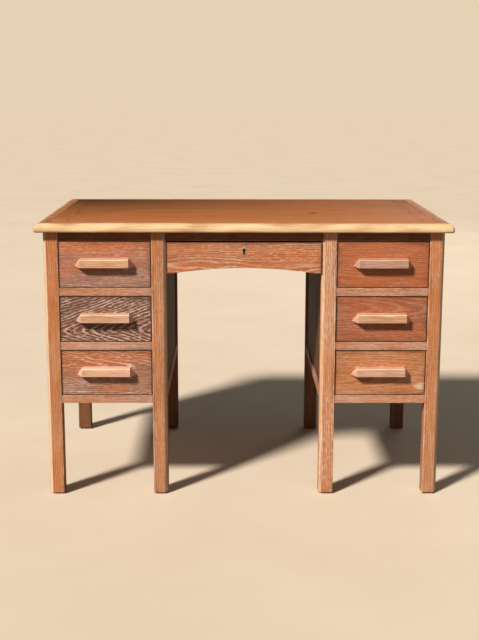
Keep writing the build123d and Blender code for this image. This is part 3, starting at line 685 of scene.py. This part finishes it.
def add_board(mesh, low, high, order, board, radius, chamfer=None, uneven=0.5, end=0.6 * MM):
    """A worn board from low to high; chamfer is (corner number, size, how rubbed it is)."""
    run = order[0]
    flat = [i for i in range(3) if i != run]
    rows = []
    places = [low[run], *stations(low[run] + end, high[run] - end, STATION), high[run]]
    for number, at in enumerate(places):
        at_end = number in (0, len(places) - 1)
        corners = []
        for corner in range(4):
            wave = noise.noise(Vector((at * 9.0 + corner * 7.1, board[0] * 3.3, corner * 2.7)))
            if chamfer and chamfer[0] == corner:
                corners.append(chamfered(chamfer[1] * (1 + 0.12 * uneven * wave)))
            else:
                corners.append(rounded(radius * (1 + uneven * wave)))
        inset = end if at_end else 0.0
        a = Vector((low[flat[0]] + inset, low[flat[1]] + inset))
        b = Vector((high[flat[0]] - inset, high[flat[1]] - inset))
        row = []
        for point in section(a, b, corners):
            full = [0.0, 0.0, 0.0]
            full[run] = at
            full[flat[0]] = point[0]
            full[flat[1]] = point[1]
            row.append(full)
        rows.append(row)
    vertices = loft(mesh, rows)
    mark(mesh, vertices, low, high, order, board)
    if chamfer:
        for number, vertex in enumerate(vertices):
            if number % 16 in (4 * chamfer[0] + 1, 4 * chamfer[0] + 2):
                note(mesh, vertex, rub=chamfer[2])
    return vertices


# %% From mesh to piece
SHARP_TURN = math.radians(42)


def stand(name, mesh, material):
    """Makes an object of a finished mesh."""
    data = bpy.data.meshes.new(name)
    mesh.to_mesh(data)
    mesh.free()
    data.materials.append(material)
    thing = bpy.data.objects.new(name, data)
    bpy.context.scene.collection.objects.link(thing)
    return thing


def set_out(name, mesh, material, body, node):
    """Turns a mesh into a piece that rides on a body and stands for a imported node."""
    bmesh.ops.recalc_face_normals(mesh, faces=mesh.faces)
    piece = stand(name, mesh, material)
    piece.data.polygons.foreach_set("use_smooth", [True] * len(piece.data.polygons))
    piece.data.set_sharp_from_angle(angle=SHARP_TURN)
    piece.modifiers.new("even_shading", "WEIGHTED_NORMAL").keep_sharp = True
    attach(piece, body)
    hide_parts(node)
    print(f"{name}: {len(piece.data.vertices)} points")


# %% [markdown]
# ## Reading the boards off the frame
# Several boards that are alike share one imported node, such as the two outer front legs. Their
# places come from the node's mesh: points that share a place belong together, and each group
# that faces tie together is one board, with its own lowest and highest corner.

# %% Boards of a node
def boards_of(node):
    """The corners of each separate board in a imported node, from left to right."""
    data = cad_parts[node].data
    keys = [tuple(round(c, 5) for c in v.co) for v in data.vertices]
    leader = {key: key for key in keys}

    def top_of(key):
        while leader[key] != key:
            leader[key] = leader[leader[key]]
            key = leader[key]
        return key

    for face in data.polygons:
        first = top_of(keys[face.vertices[0]])
        for index in face.vertices[1:]:
            leader[top_of(keys[index])] = first
    groups = {}
    for key in leader:
        groups.setdefault(top_of(key), []).append(key)
    found = []
    for members in groups.values():
        low = Vector([min(m[i] for m in members) for i in range(3)])
        high = Vector([max(m[i] for m in members) for i in range(3)])
        found.append((low, high))
    return sorted(found, key=lambda pair: tuple(pair[0] + pair[1]))


X, Y, Z = 0, 1, 2
LEG_NODES = ("legs_front_outer", "legs_front_inner", "legs_back_outer", "legs_back_inner")
legs = {node: boards_of(node) for node in LEG_NODES}
for node, pair in legs.items():
    print(node, [short(low) for low, high in pair])


def clip(pair, axis, faces):
    """Shortens a board to the two nearest faces on either side of its middle."""
    low, high = pair[0].copy(), pair[1].copy()
    middle = (low[axis] + high[axis]) / 2
    low[axis] = max([low[axis]] + [face for face in faces if face < middle])
    high[axis] = min([high[axis]] + [face for face in faces if face > middle])
    return low, high


def levels(pairs, axis):
    """Where the faces of some boards lie along an axis."""
    return sorted({round(corner[axis], 5) for pair in pairs for corner in pair})


leg_boards = [pair for boards in legs.values() for pair in boards]
leg_faces = {axis: levels(leg_boards, axis) for axis in (X, Y)}
print("leg faces across:", leg_faces[X], "and in depth:", leg_faces[Y])

# %% [markdown]
# ## Legs
# Eight legs carry the desk, each forty millimetres square, with one corner taken off by a broad
# chamfer on the side that shows: outside on the outer legs, towards the kneehole on the inner
# ones. The light catches it as a bright line, so it is modelled and not painted.

# %% Legs
CHAMFER = 8 * MM
LEG_ROUND = 1.8 * MM
LEG_END = 1.2 * MM
CHAMFER_RUB = {1.0: 0.85, 2.0: 0.7, 3.0: 0.6, 4.0: 0.45}
LEG_BOARDS = {
    "legs_front_outer": ((1.0, 0.0, 0.25), (2.0, 0.0, 0.4)),
    "legs_front_inner": ((3.0, -0.1, 0.5), (4.0, 0.3, 0.8)),
    # The back legs' low tones, -1.7 to -2.0, are painted shade.
    "legs_back_outer": ((5.0, -2.0, 0.2), (6.0, -1.7, 0.2)),
    "legs_back_inner": ((7.0, -1.7, 0.2), (8.0, -1.7, 0.2)),
}
for node, pair in legs.items():
    work = start_mesh()
    for (low, high), board in zip(pair, LEG_BOARDS[node]):
        on_right = low[X] > 0
        outer = "outer" in node
        behind = "back" in node
        high_side = on_right == outer
        corner = (2 if behind else 1) if high_side else (3 if behind else 0)
        cut = (corner, CHAMFER, CHAMFER_RUB.get(board[0], 0.3))
        add_board(work, low, high, (Z, Y, X), board, LEG_ROUND, cut, 0.6, LEG_END)
    set_out(node.replace("legs_", "leg_pair_"), work, leg_oak, "carcass", node)

# %% [markdown]
# ## Rails and panels
# Rails tie the legs together between the drawers, behind, and along the sides. Their tenons are
# hidden in the legs, so only the wood between the legs is modelled, which the list of leg faces
# gives. The panels are thin sheets that sit back from the frame, whose depth throws a line of
# shadow round them, which is most of what one sees.

# %% Rails
rail_seeds = iter(range(23, 80))
RAIL_ROUND = 1.0 * MM
THIN_ROUND = 0.5 * MM


def add_rails(name, node, order, axis, tone=0.0, lime=0.5):
    """The rails of one node, cut to what shows between the legs."""
    work = start_mesh()
    for pair in boards_of(node):
        seed = next(rail_seeds)
        low, high = clip(pair, axis, leg_faces[axis])
        shade = tone + 0.25 * noise.noise(Vector((seed * 1.7, 0.0, 0.5)))
        add_board(work, low, high, order, (seed, shade, lime), RAIL_ROUND)
    set_out(name, work, rail_oak, "carcass", node)


add_rails("drawer_rail_set", "drawer_rails", (X, Y, Z), X, lime=0.6)
add_rails("back_rail_set", "back_rails", (X, Y, Z), X, tone=-0.2)
add_rails("kneehole_rail", "kneehole_back_rail", (X, Y, Z), X, tone=-0.3)
add_rails("side_rail_set", "side_rails", (Y, X, Z), Y, tone=-0.1)

# %% Panels
rail_levels = levels(boards_of("side_rails"), Z)
print("side rail levels:", rail_levels)


def add_panels(name, node, order, axis, tone):
    """The panels of one node, cut to what shows between the legs and the rails."""
    work = start_mesh()
    for pair in boards_of(node):
        low, high = clip(clip(pair, axis, leg_faces[axis]), Z, rail_levels)
        add_board(work, low, high, order, (next(rail_seeds), tone, 0.15), THIN_ROUND)
    set_out(name, work, panel_oak, "carcass", node)


add_panels("outer_side_panels", "side_panels_outer", (Z, X, Y), Y, 0.0)
# The tone of -2.1 on the kneehole side panels is painted shade.
add_panels("kneehole_side_panels", "side_panels_kneehole", (Z, X, Y), Y, -2.1)
add_panels("rear_panels", "back_panels", (Z, Y, X), X, 0.0)

# %% [markdown]
# ## The top
# The writing surface is one wide board with a narrow one across each end, a clamp, that keeps it
# flat. The clamps' grain runs the other way, so the light shows them as a different brown. The
# joints are tight: only a slightly softened arris on each board draws the line between them.

# %% Writing surface and end clamps
edging_inside = {
    X: max(low[X] for low, high in boards_of("lipping_ends")),
    Y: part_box("lipping_back")[0][Y],
}
inside = {axis: (-reach, reach) for axis, reach in edging_inside.items()}
clamp_boards = [clip(clip(b, X, inside[X]), Y, inside[Y]) for b in boards_of("top_end_clamps")]
panel_reach = clamp_boards[1][0][X]
panel = clip(clip(boards_of("top_panel")[0], Y, inside[Y]), X, (-panel_reach, panel_reach))


def paint_shade_towards_back(mesh, vertices):
    """Paints shade on a board of the top, darker towards the back and most towards the back left corner.
    """
    board = mesh.verts.layers.float_vector["board"]
    for vertex in vertices:
        back = (vertex.co.y + inside[Y][1]) / (2 * inside[Y][1])
        left = min(1.0, max(0.0, (0.25 - vertex.co.x) / 0.7))
        vertex[board][1] -= (1.4 + 1.5 * left) * back


# The writing board and the end clamps get painted shade towards the back and the back left.
work = start_mesh()
paint_shade_towards_back(work, add_board(work, *panel, (X, Z, Y), (11.0, 0.0, 0.12), THIN_ROUND))
set_out("writing_board", work, top_oak, "carcass", "top_panel")

work = start_mesh()
for board, (low, high) in zip(((12.0, 0.05, 0.2), (13.0, -0.1, 0.2)), clamp_boards):
    paint_shade_towards_back(work, add_board(work, low, high, (Y, Z, X), board, THIN_ROUND))
set_out("end_clamps", work, top_oak, "carcass", "top_end_clamps")

# %% [markdown]
# ## The moulded edging
# A solid edging with a full nose runs round the top and meets in mitres. It could be a curve with
# a bevel profile, but a curve has no true mitre. So each length is lofted: the same profile at
# every station, squeezed towards the mitre at both ends and turned round a small corner. Each
# profile point is kept as its way in from the outer edge and its height, with how much hands and
# sleeves have rubbed it.

# %% Edging profile
NOSE = 19 * MM
NOSE_DROP = 17 * MM
NOSE_UNDER = 5 * MM
CORNER = 8 * MM
EDGING_STEP = 0.045
SAME_PLACE = 0.001 * MM
top_low, top_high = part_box("lipping_front")
LIPPING_W = top_high[Y] - top_low[Y]


def edging_profile(bottom, top):
    """Points of the edging's section: way in, height and how much it is rubbed."""
    points = []
    for step in range(9):
        turn = math.radians(90 * step / 8)
        rub = 0.35 + 0.65 * math.sin(math.pi * min(0.65, 0.2 + step / 12))
        points.append((NOSE * (1 - math.sin(turn)), top - NOSE_DROP * (1 - math.cos(turn)), rub))
    for step in range(5):
        turn = math.radians(90 * step / 4)
        rub = 0.8 - 0.15 * step
        way_in = NOSE_UNDER * (1 - math.cos(turn))
        points.append((way_in, bottom + NOSE_UNDER * (1 - math.sin(turn)), rub))
    points.append((LIPPING_W, bottom, 0.0))
    points.append((LIPPING_W, top - 0.6 * MM, 0.5))
    points.append((LIPPING_W - 0.6 * MM, top, 0.6))
    points.append((LIPPING_W - 2.5 * MM, top, 0.1))
    points.append((NOSE + 5 * MM, top, 0.0))
    return points


def add_edging(mesh, out, half_out, half_along, seed, tone, use):
    """One length of edging; out is the direction it faces, and use is how much it was rubbed."""
    bottom, top = top_low[Z], top_high[Z]
    profile = edging_profile(bottom, top)
    run = (-out[1], out[0])
    turns = [math.radians(45 * i / 3) for i in range(1, 4)]
    path = [(-1, turn) for turn in turns[::-1]]
    path += [(None, share) for share in stations(-1.0, 1.0, EDGING_STEP)]
    path += [(1, turn) for turn in turns]
    rows = []
    notes = []
    for hand, value in path:
        row = []
        for way_in, height, rub in profile:
            if hand is None:
                along = value * (half_along - max(way_in, CORNER))
                outward = half_out - way_in
            elif way_in < CORNER:
                along = hand * (half_along - CORNER + (CORNER - way_in) * math.sin(value))
                outward = half_out - CORNER + (CORNER - way_in) * math.cos(value)
            else:
                along = hand * (half_along - way_in)
                outward = half_out - way_in
            wave = noise.noise(Vector((along * 11.0, seed * 5.0, height * 40.0)))
            if way_in < NOSE and 0 < height - bottom < top - bottom:
                outward -= 0.25 * MM * (1 + wave)
            row.append((out[0] * outward + run[0] * along, out[1] * outward + run[1] * along, height))
            place = (along, height - (bottom + top) / 2, way_in - LIPPING_W / 2)
            half = (half_along - way_in, (top - bottom) / 2, LIPPING_W / 2)
            notes.append((place, half, max(0.0, use * rub * (0.85 + 0.9 * wave))))
        rows.append(row)
    for vertex, (place, half, rub) in zip(loft(mesh, rows), notes):
        note(mesh, vertex, place=place, half=half, board=(seed, tone, 0.25), rub=rub)
    bmesh.ops.remove_doubles(mesh, verts=mesh.verts, dist=SAME_PLACE)


# %% Edging lengths
half_x = top_high[X]
half_y = -top_low[Y]
EDGINGS = {
    ("front_edging", "lipping_front"): [((0, -1), half_y, half_x, 14.0, 0.0, 1.1)],
    ("back_edging", "lipping_back"): [((0, 1), half_y, half_x, 15.0, -0.4, 0.55)],
    ("end_edgings", "lipping_ends"): [
        ((-1, 0), half_x, half_y, 16.0, -0.3, 0.45),
        ((1, 0), half_x, half_y, 17.0, -0.2, 0.45),
    ],
}
for (name, node), lengths in EDGINGS.items():
    work = start_mesh()
    for length in lengths:
        add_edging(work, *length)
    set_out(name, work, edging_oak, "carcass", node)

# %% [markdown]
# ## Bar pulls
# Each drawer is opened by a wooden bar with pointed ends and a finger hollow cut up into its
# underside. It is one loft along its length: the section shrinks to a point at each end, and the
# points that draw the hollow sink back into the underside where the hollow stops. The small
# bevels at the front are where fingers rub, so they carry the most `rub`.

# %% Pull section
PULL_EDGE = 2 * MM
PULL_FALL = 1.5 * MM
POINT_LENGTH = 15.5 * MM
HOLLOW_HALF = 55 * MM
HOLLOW_RUN_OUT = 6 * MM
TIP_DROP = 8.5 * MM


def pull_section(depth, half, opened):
    """Points as way forward from the drawer, height from the middle, and rub."""
    low = -half
    floor = low + PULL_EDGE

    def hollow(height):
        return floor + (height - floor) * opened

    return [
        (0.0, low, 0.0),
        (0.0, half, 0.0),
        (depth - 3.6 * MM, half - PULL_FALL * 0.85, 0.1),
        (depth - PULL_EDGE, half - PULL_FALL, 1.0),
        (depth, half - PULL_FALL - PULL_EDGE, 1.0),
        (depth, half - PULL_FALL - 2 * PULL_EDGE, 0.15),
        (depth, low + 3 * PULL_EDGE, 0.05),
        (depth, low + 2 * PULL_EDGE, 0.6),
        (depth - PULL_EDGE, floor, 0.6),
        (depth - 6.5 * MM, floor - 0.4 * MM, 0.2),
        (depth - 6.6 * MM, hollow(low + 8.5 * MM), 0.0),
        (depth - 8.4 * MM, hollow(low + 12.7 * MM), 0.0),
        (depth - 12.5 * MM, hollow(low + 14.5 * MM), 0.0),
        (depth - 16.6 * MM, hollow(low + 12.7 * MM), 0.0),
        (depth - 18.4 * MM, hollow(low + 8.5 * MM), 0.0),
        (depth - 18.5 * MM, low + 0.5 * MM, 0.0),
    ]


def add_pull(mesh, body, board):
    """One pull, in front of its drawer's front."""
    low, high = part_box(f"{body}_pull")
    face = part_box(f"{body}_front")[0][Y]
    middle_x = (low[X] + high[X]) / 2
    middle_z = (low[Z] + high[Z]) / 2
    depth = face - low[Y]
    half = (high[Z] - low[Z]) / 2
    reach = (high[X] - low[X]) / 2
    ends = [reach - 0.3 * MM, reach - POINT_LENGTH * 0.35, reach - POINT_LENGTH * 0.7]
    bends = [reach - POINT_LENGTH - 0.4 * MM, HOLLOW_HALF + 0.5 * MM, HOLLOW_HALF - HOLLOW_RUN_OUT * 0.4]
    inner = stations(-(HOLLOW_HALF - HOLLOW_RUN_OUT), HOLLOW_HALF - HOLLOW_RUN_OUT, 14 * MM)
    places = [-p for p in ends + bends] + inner + (ends + bends)[::-1]
    rows = []
    rubs = []
    for at in places:
        share = min(1.0, (reach - abs(at)) / POINT_LENGTH)
        opened = min(1.0, max(0.0, (HOLLOW_HALF - abs(at)) / HOLLOW_RUN_OUT))
        opened = opened * opened * (3 - 2 * opened)
        wave = noise.noise(Vector((at * 30.0, board[0] * 3.1, 1.0)))
        row = []
        for forward, height, rub in pull_section(depth, half, opened):
            soft = 0.25 * MM * wave * rub
            level = middle_z + height * share - TIP_DROP * (1 - share)
            row.append((middle_x + at, face - forward * share + soft, level))
            rubs.append(max(0.0, rub * (0.75 + 0.8 * wave)))
        rows.append(row)
    vertices = loft(mesh, rows)
    mark(mesh, vertices, Vector(low), Vector((high[X], face, high[Z])), (X, Y, Z), board)
    for vertex, rub in zip(vertices, rubs):
        note(mesh, vertex, rub=rub)


# %% [markdown]
# ## Drawer fronts
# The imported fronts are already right: they have the sockets for the sides' dovetails, and the
# centre one has its arch and its keyhole. They keep their meshes, and four modifiers soften them.
# A weld closes the seams between faces, and a planar decimate joins the thin triangles of each
# flat face into one, because a bevel would fold such triangles over. Then the bevel takes off the
# sharp arrises, and weighted normals keep the flat faces flat.

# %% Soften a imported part
SEAM = 0.01 * MM
FLAT_TURN = math.radians(0.3)
BEVEL_TURN = math.radians(35)


def soften(node, material, width=0.8 * MM, segments=2):
    """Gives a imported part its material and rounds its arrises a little."""
    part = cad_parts[node]
    if not part.material_slots:
        part.data.materials.append(material)
    for holder in part.material_slots:
        holder.material = material
    part.modifiers.new("close_seams", "WELD").merge_threshold = SEAM
    whole = part.modifiers.new("whole_faces", "DECIMATE")
    whole.decimate_type = "DISSOLVE"
    whole.angle_limit = FLAT_TURN
    bevel = part.modifiers.new("soft_arrises", "BEVEL")
    bevel.width = width
    bevel.segments = segments
    bevel.limit_method = "ANGLE"
    bevel.angle_limit = BEVEL_TURN
    part.modifiers.new("even_shading", "WEIGHTED_NORMAL").keep_sharp = True
    print(f"{node}: softened by {width / MM:.1f} mm")


def of_part(node, order, seed, pair=False):
    """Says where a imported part's boards are, for the timber recipe."""
    return lambda on: place_from_part(on, node, order, seed, pair)


# %% [markdown]
# The three rails over the drawers are kept in the same way, because the middle one has the
# mortise that the lock's bolt rises into. They are always in the shade of the top, and their
# dark browns and a Tone of -1.6 paint more shade onto them.

# %% Rails over the drawers
shaded_oak = timber(
    "shaded_rail_oak", of_part("front_top_rails", (X, Y, Z), 20.0),
    Varnish=(196, 112, 58), Bare=(196, 128, 84), Bareness=0.5, Shadow=(120, 66, 36),
    Ring_width=0.003, Pith_depth=0.07, Waver=0.006, Tone=-1.6, Lime=0.12, Wear=0.2, Dirt=0.6,
)
soften("front_top_rails", shaded_oak)

# %% [markdown]
# Each front came from its own board, so each has its own rings, lime and brown: the middle left
# one is a bold arch of lime in dark wood, the bottom right one is pale, and the centre one is
# finely waved. A row holds the colours of the varnished, the bare and the dark wood, how bare and
# how limed the front is, its rings and the pith that they turn round, the height above which the
# varnish is left, the painted shade round the rim, and the tone of the pull.

# %% Drawer fronts and pulls
WHITE_LIME = (222, 200, 184)
PATCH = ((0.108, -0.037), (0.016, 0.012), (238, 214, 186))
COLUMNS = (
    "Varnish", "Bare", "Shadow", "Bareness", "Lime", "Ring_width", "Pith_depth", "Pith_side",
    "Lean", "Taper", "Waver", "Varnish_line", "Rim", "pull",
)
DRAWERS = {
    "left_top": (
        (214, 116, 62), (180, 130, 114), (118, 72, 58), 1.1, 0.55, 0.0034, 0.035, 0.07,
        0.03, 0.0, 0.02, 0.55, 0.85, 0.0,
    ),
    "left_middle": (
        (148, 80, 56), (126, 82, 70), (70, 40, 34), 0.9, 1.08, 0.0078, 0.02, 0.028,
        0.0, -0.31, 0.045, 5.0, 0.85, -0.2,
    ),
    "left_bottom": (
        (208, 118, 64), (180, 130, 108), (120, 74, 56), 1.0, 0.7, 0.0055, 0.03, -0.02,
        0.1, 0.0, 0.07, 0.6, 0.85, 0.4,
    ),
    "right_top": (
        (200, 110, 62), (200, 122, 80), (148, 76, 44), 0.8, 0.16, 0.0046, 0.06, 0.05,
        0.03, 0.0, 0.012, 5.0, 0.85, -0.8,
    ),
    "right_middle": (
        (192, 106, 62), (182, 116, 86), (136, 70, 44), 0.8, 0.26, 0.005, 0.05, -0.03,
        0.06, 0.0, 0.02, 5.0, 0.85, -0.2,
    ),
    "right_bottom": (
        (206, 124, 64), (216, 154, 108), (156, 88, 50), 0.85, 0.4, 0.0065, 0.03, 0.015,
        0.08, 0.0, 0.03, 5.0, 0.85, -0.3,
    ),
    "centre": (
        (224, 120, 54), (208, 134, 86), (150, 82, 46), 0.75, 0.64, 0.005, 0.03, 0.02,
        0.02, 0.0, 0.055, 5.0, 0.6, None,
    ),
}
for number, (where, row) in enumerate(DRAWERS.items()):
    looks = dict(zip(COLUMNS, row), Lime_colour=WHITE_LIME, Wear=0.3, Dirt=0.6)
    pull_tone = looks.pop("pull")
    body = f"drawer_{where}"
    seed = 53.0 if where == "centre" else 31.0 + 2.3 * number
    front_oak = timber(f"{where}_front_oak", of_part(f"{body}_front", (X, Y, Z), seed), **looks)
    soften(f"{body}_front", front_oak)
    if where == "right_bottom":
        spot(front_oak, *PATCH)
    if pull_tone is not None:
        work = start_mesh()
        add_pull(work, body, (seed + 0.7, pull_tone, 0.3))
        set_out(f"{body}_bar", work, pull_oak, body, f"{body}_pull")

# %% [markdown]
# ## Inside the drawers
# The sides and backs are plain pale timber that never saw varnish, only papers and dust, and the
# bottoms are thin plywood. They use the same recipe with little lime, a paler brown and little
# gloss. The running gear under the drawers is beech, which has a fine, even figure.

# %% Drawer boxes
PALE = dict(
    gloss=0.25, Varnish=(214, 184, 142), Bare=(206, 172, 130), Shadow=(176, 138, 96),
    Lime_colour=(226, 204, 168), Worn_colour=(228, 206, 172), Lime=0.2, Wear=0.5, Dirt=0.55,
)
PLY = dict(
    gloss=0.25, Varnish=(208, 170, 122), Bare=(202, 166, 122), Shadow=(178, 134, 90),
    Lime=0.05, Ring_width=0.014, Pith_depth=0.2, Waver=0.06, Wear=0.0, Dirt=0.7,
)
for number, where in enumerate(DRAWERS):
    seed = 71.0 + 1.9 * number
    for part, order, more, looks, width in (
        ("sides", (Y, X, Z), 0.0, PALE, 0.6 * MM),
        ("back", (X, Y, Z), 0.5, PALE, 0.6 * MM),
        ("bottom", (X, Z, Y), 0.9, PLY, 0.3 * MM),
    ):
        node = f"drawer_{where}_{part}"
        placed = of_part(node, order, seed + more, pair=part == "sides")
        soften(node, timber(f"{node}_timber", placed, **looks), width, 1)

# %% Running gear
BEECH = dict(
    gloss=0.25, Varnish=(206, 162, 118), Bare=(208, 168, 126), Shadow=(168, 120, 80),
    Lime=0.0, Ring_width=0.003, Wear=0.0, Dirt=0.3,
)
GEAR = {
    "drawer_runners": (Y, Z, X),
    "drawer_guides": (Y, Z, X),
    "drawer_stops": (X, Z, Y),
    "top_buttons": (X, Z, Y),
}
for number, (node, order) in enumerate(GEAR.items()):
    beech = timber(f"{node}_beech", of_part(node, order, 91.0 + number), **BEECH)
    soften(node, beech, 0.8 * MM, 1)

# %% [markdown]
# ## Metal
# The lock, the screws and the glides under the feet are steel, and the ring round the keyhole
# is brass. Old metal is never one colour: it has dull brown spots and fine rub marks. One group
# makes both masks, and each metal mixes its own two colours with them.

# %% Tarnish
tarnish, on, given, result = start_effect("tarnish", ("Spots", "Rubbing"), Place=MIDDLE, Size=1.0)
scaled = on.vector("MULTIPLY", given["Place"], on.join(given["Size"], given["Size"], given["Size"]))
on.feed(result["Spots"], on.ramp(on.cloud(scaled, (90.0, 90.0, 90.0), 4.0, 0.65), 0.42, 0.62))
on.feed(result["Rubbing"], on.cloud(scaled, (40.0, 900.0, 900.0), 2.0))


def metal(name, bright, dull, size, rough):
    """A metal of two colours, dull where it is spotted; size is how fine the spots are."""
    material = bpy.data.materials.new(name)
    material.use_nodes = True
    on = Bench(material.node_tree)
    shader = material.node_tree.nodes["Principled BSDF"]
    here = on.node("ShaderNodeTexCoord").outputs["Object"]
    masks = on.effect(tarnish, Place=here, Size=size)
    on.feed(shader.inputs["Base Color"], on.blend(masks["Spots"], bright, dull))
    on.feed(shader.inputs["Metallic"], on.times_plus(masks["Spots"], -0.35, 1.0))
    rubbing = on.times_plus(masks["Rubbing"], 0.2, rough)
    on.feed(shader.inputs["Roughness"], on.times_plus(masks["Spots"], 0.25, rubbing))
    return material


steel = metal("worn_steel", paint(186, 182, 176), paint(112, 94, 78), 1.0, 0.25)
brass = metal("old_brass", paint(240, 212, 166), paint(196, 154, 112), 2.0, 0.4)
for node in ("button_screws", "lock_case", "lock_bolt"):
    soften(node, steel, 0.3 * MM, 1)
soften("lock_escutcheon", brass, 0.35 * MM, 2)

# %% [markdown]
# ## Glides
# A domed steel glide is nailed under each foot, so that the leg doesn't split when the desk is
# dragged. It is a turned shape: a few points of its outline, spun round the leg's middle.

# %% Glides
GLIDE_OUTLINE = ((0.0, 0.0), (0.62, 0.0), (0.84, 0.1), (0.96, 0.32), (1.0, 0.62), (1.0, 1.0), (0.0, 1.0))
GLIDE_R = 11 * MM
GLIDE_SIDES = 32
work = start_mesh()
floor_gap = legs["legs_front_outer"][0][0][Z]
for node in LEG_NODES:
    for low, high in legs[node]:
        middle = (low + high) / 2
        rings = []
        for radius, height in GLIDE_OUTLINE[1:-1]:
            ring = []
            for step in range(GLIDE_SIDES):
                turn = 2 * math.pi * step / GLIDE_SIDES
                x = middle[X] + GLIDE_R * radius * math.cos(turn)
                y = middle[Y] + GLIDE_R * radius * math.sin(turn)
                ring.append((x, y, floor_gap * height))
            rings.append(ring)
        loft(work, rings)
set_out("feet_glides", work, steel, "carcass", "foot_glides")

# %% [markdown]
# ## Floor and room
# The floor is a stage and not part of the desk, so it stays plain: one wide pale sheet, big
# enough to reach the horizon, with only a faint unevenness so that it doesn't look like paper. It
# has no gloss, so it looks the same from every side, and the room behind it has its colour, so
# that the two run into each other. Both are pale only to the eye. The light that they shed on the
# desk is that of a darker room, which the Light Path node tells apart.

# %% Floor
FLOOR_REACH = 60.0
FLOOR_THROWS = paint(142, 131, 118)
sheet = bmesh.new()
corners = [(-1, -1), (1, -1), (1, 1), (-1, 1)]
sheet.faces.new([sheet.verts.new((a * FLOOR_REACH, b * FLOOR_REACH, 0.0)) for a, b in corners])
floor_paint = bpy.data.materials.new("pale_floor")
floor_paint.use_nodes = True
on = Bench(floor_paint.node_tree)
shader = floor_paint.node_tree.nodes["Principled BSDF"]
here = on.node("ShaderNodeTexCoord").outputs["Object"]
mottle = on.ramp(on.cloud(here, (2.0, 2.0, 2.0), 5.0, 0.6), 0.3, 0.7)
pale = on.blend(mottle, paint(238, 224, 205), paint(243, 230, 212))
seen = on.node("ShaderNodeLightPath").outputs["Is Camera Ray"]
on.feed(shader.inputs["Base Color"], on.blend(seen, FLOOR_THROWS, pale))
shader.inputs["Roughness"].default_value = 0.85
shader.inputs["Specular IOR Level"].default_value = 0.0
floor = stand("pale_floor", sheet, floor_paint)
floor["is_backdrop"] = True
print("floor reaches", FLOOR_REACH, "m each way")

# %% Room
ROOM_SHEDS = (0.074, 0.071, 0.066, 1.0)
FAR_FLOOR = paint(231, 209, 180)
room = bpy.data.worlds.new("pale_room")
room.use_nodes = True
on = Bench(room.node_tree)
seen = on.node("ShaderNodeLightPath").outputs["Is Camera Ray"]
on.feed(room.node_tree.nodes["Background"].inputs["Color"], on.blend(seen, ROOM_SHEDS, FAR_FLOOR))
bpy.context.scene.world = room
print("room sheds", short(ROOM_SHEDS), "and looks", short(FAR_FLOOR))

# %% [markdown]
# ## Sizes
# Last, the size: the box of the imported model and the box of the visual one are printed
# next to each other.

# %% Sizes and finish
look_low, look_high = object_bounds()
sizes = {
    "cad": [list(cad_low), list(cad_high)],
    "visual": [list(look_low), list(look_high)],
}
for name, (low, high) in sizes.items():
    print(name, short(low, 4), short(high, 4))
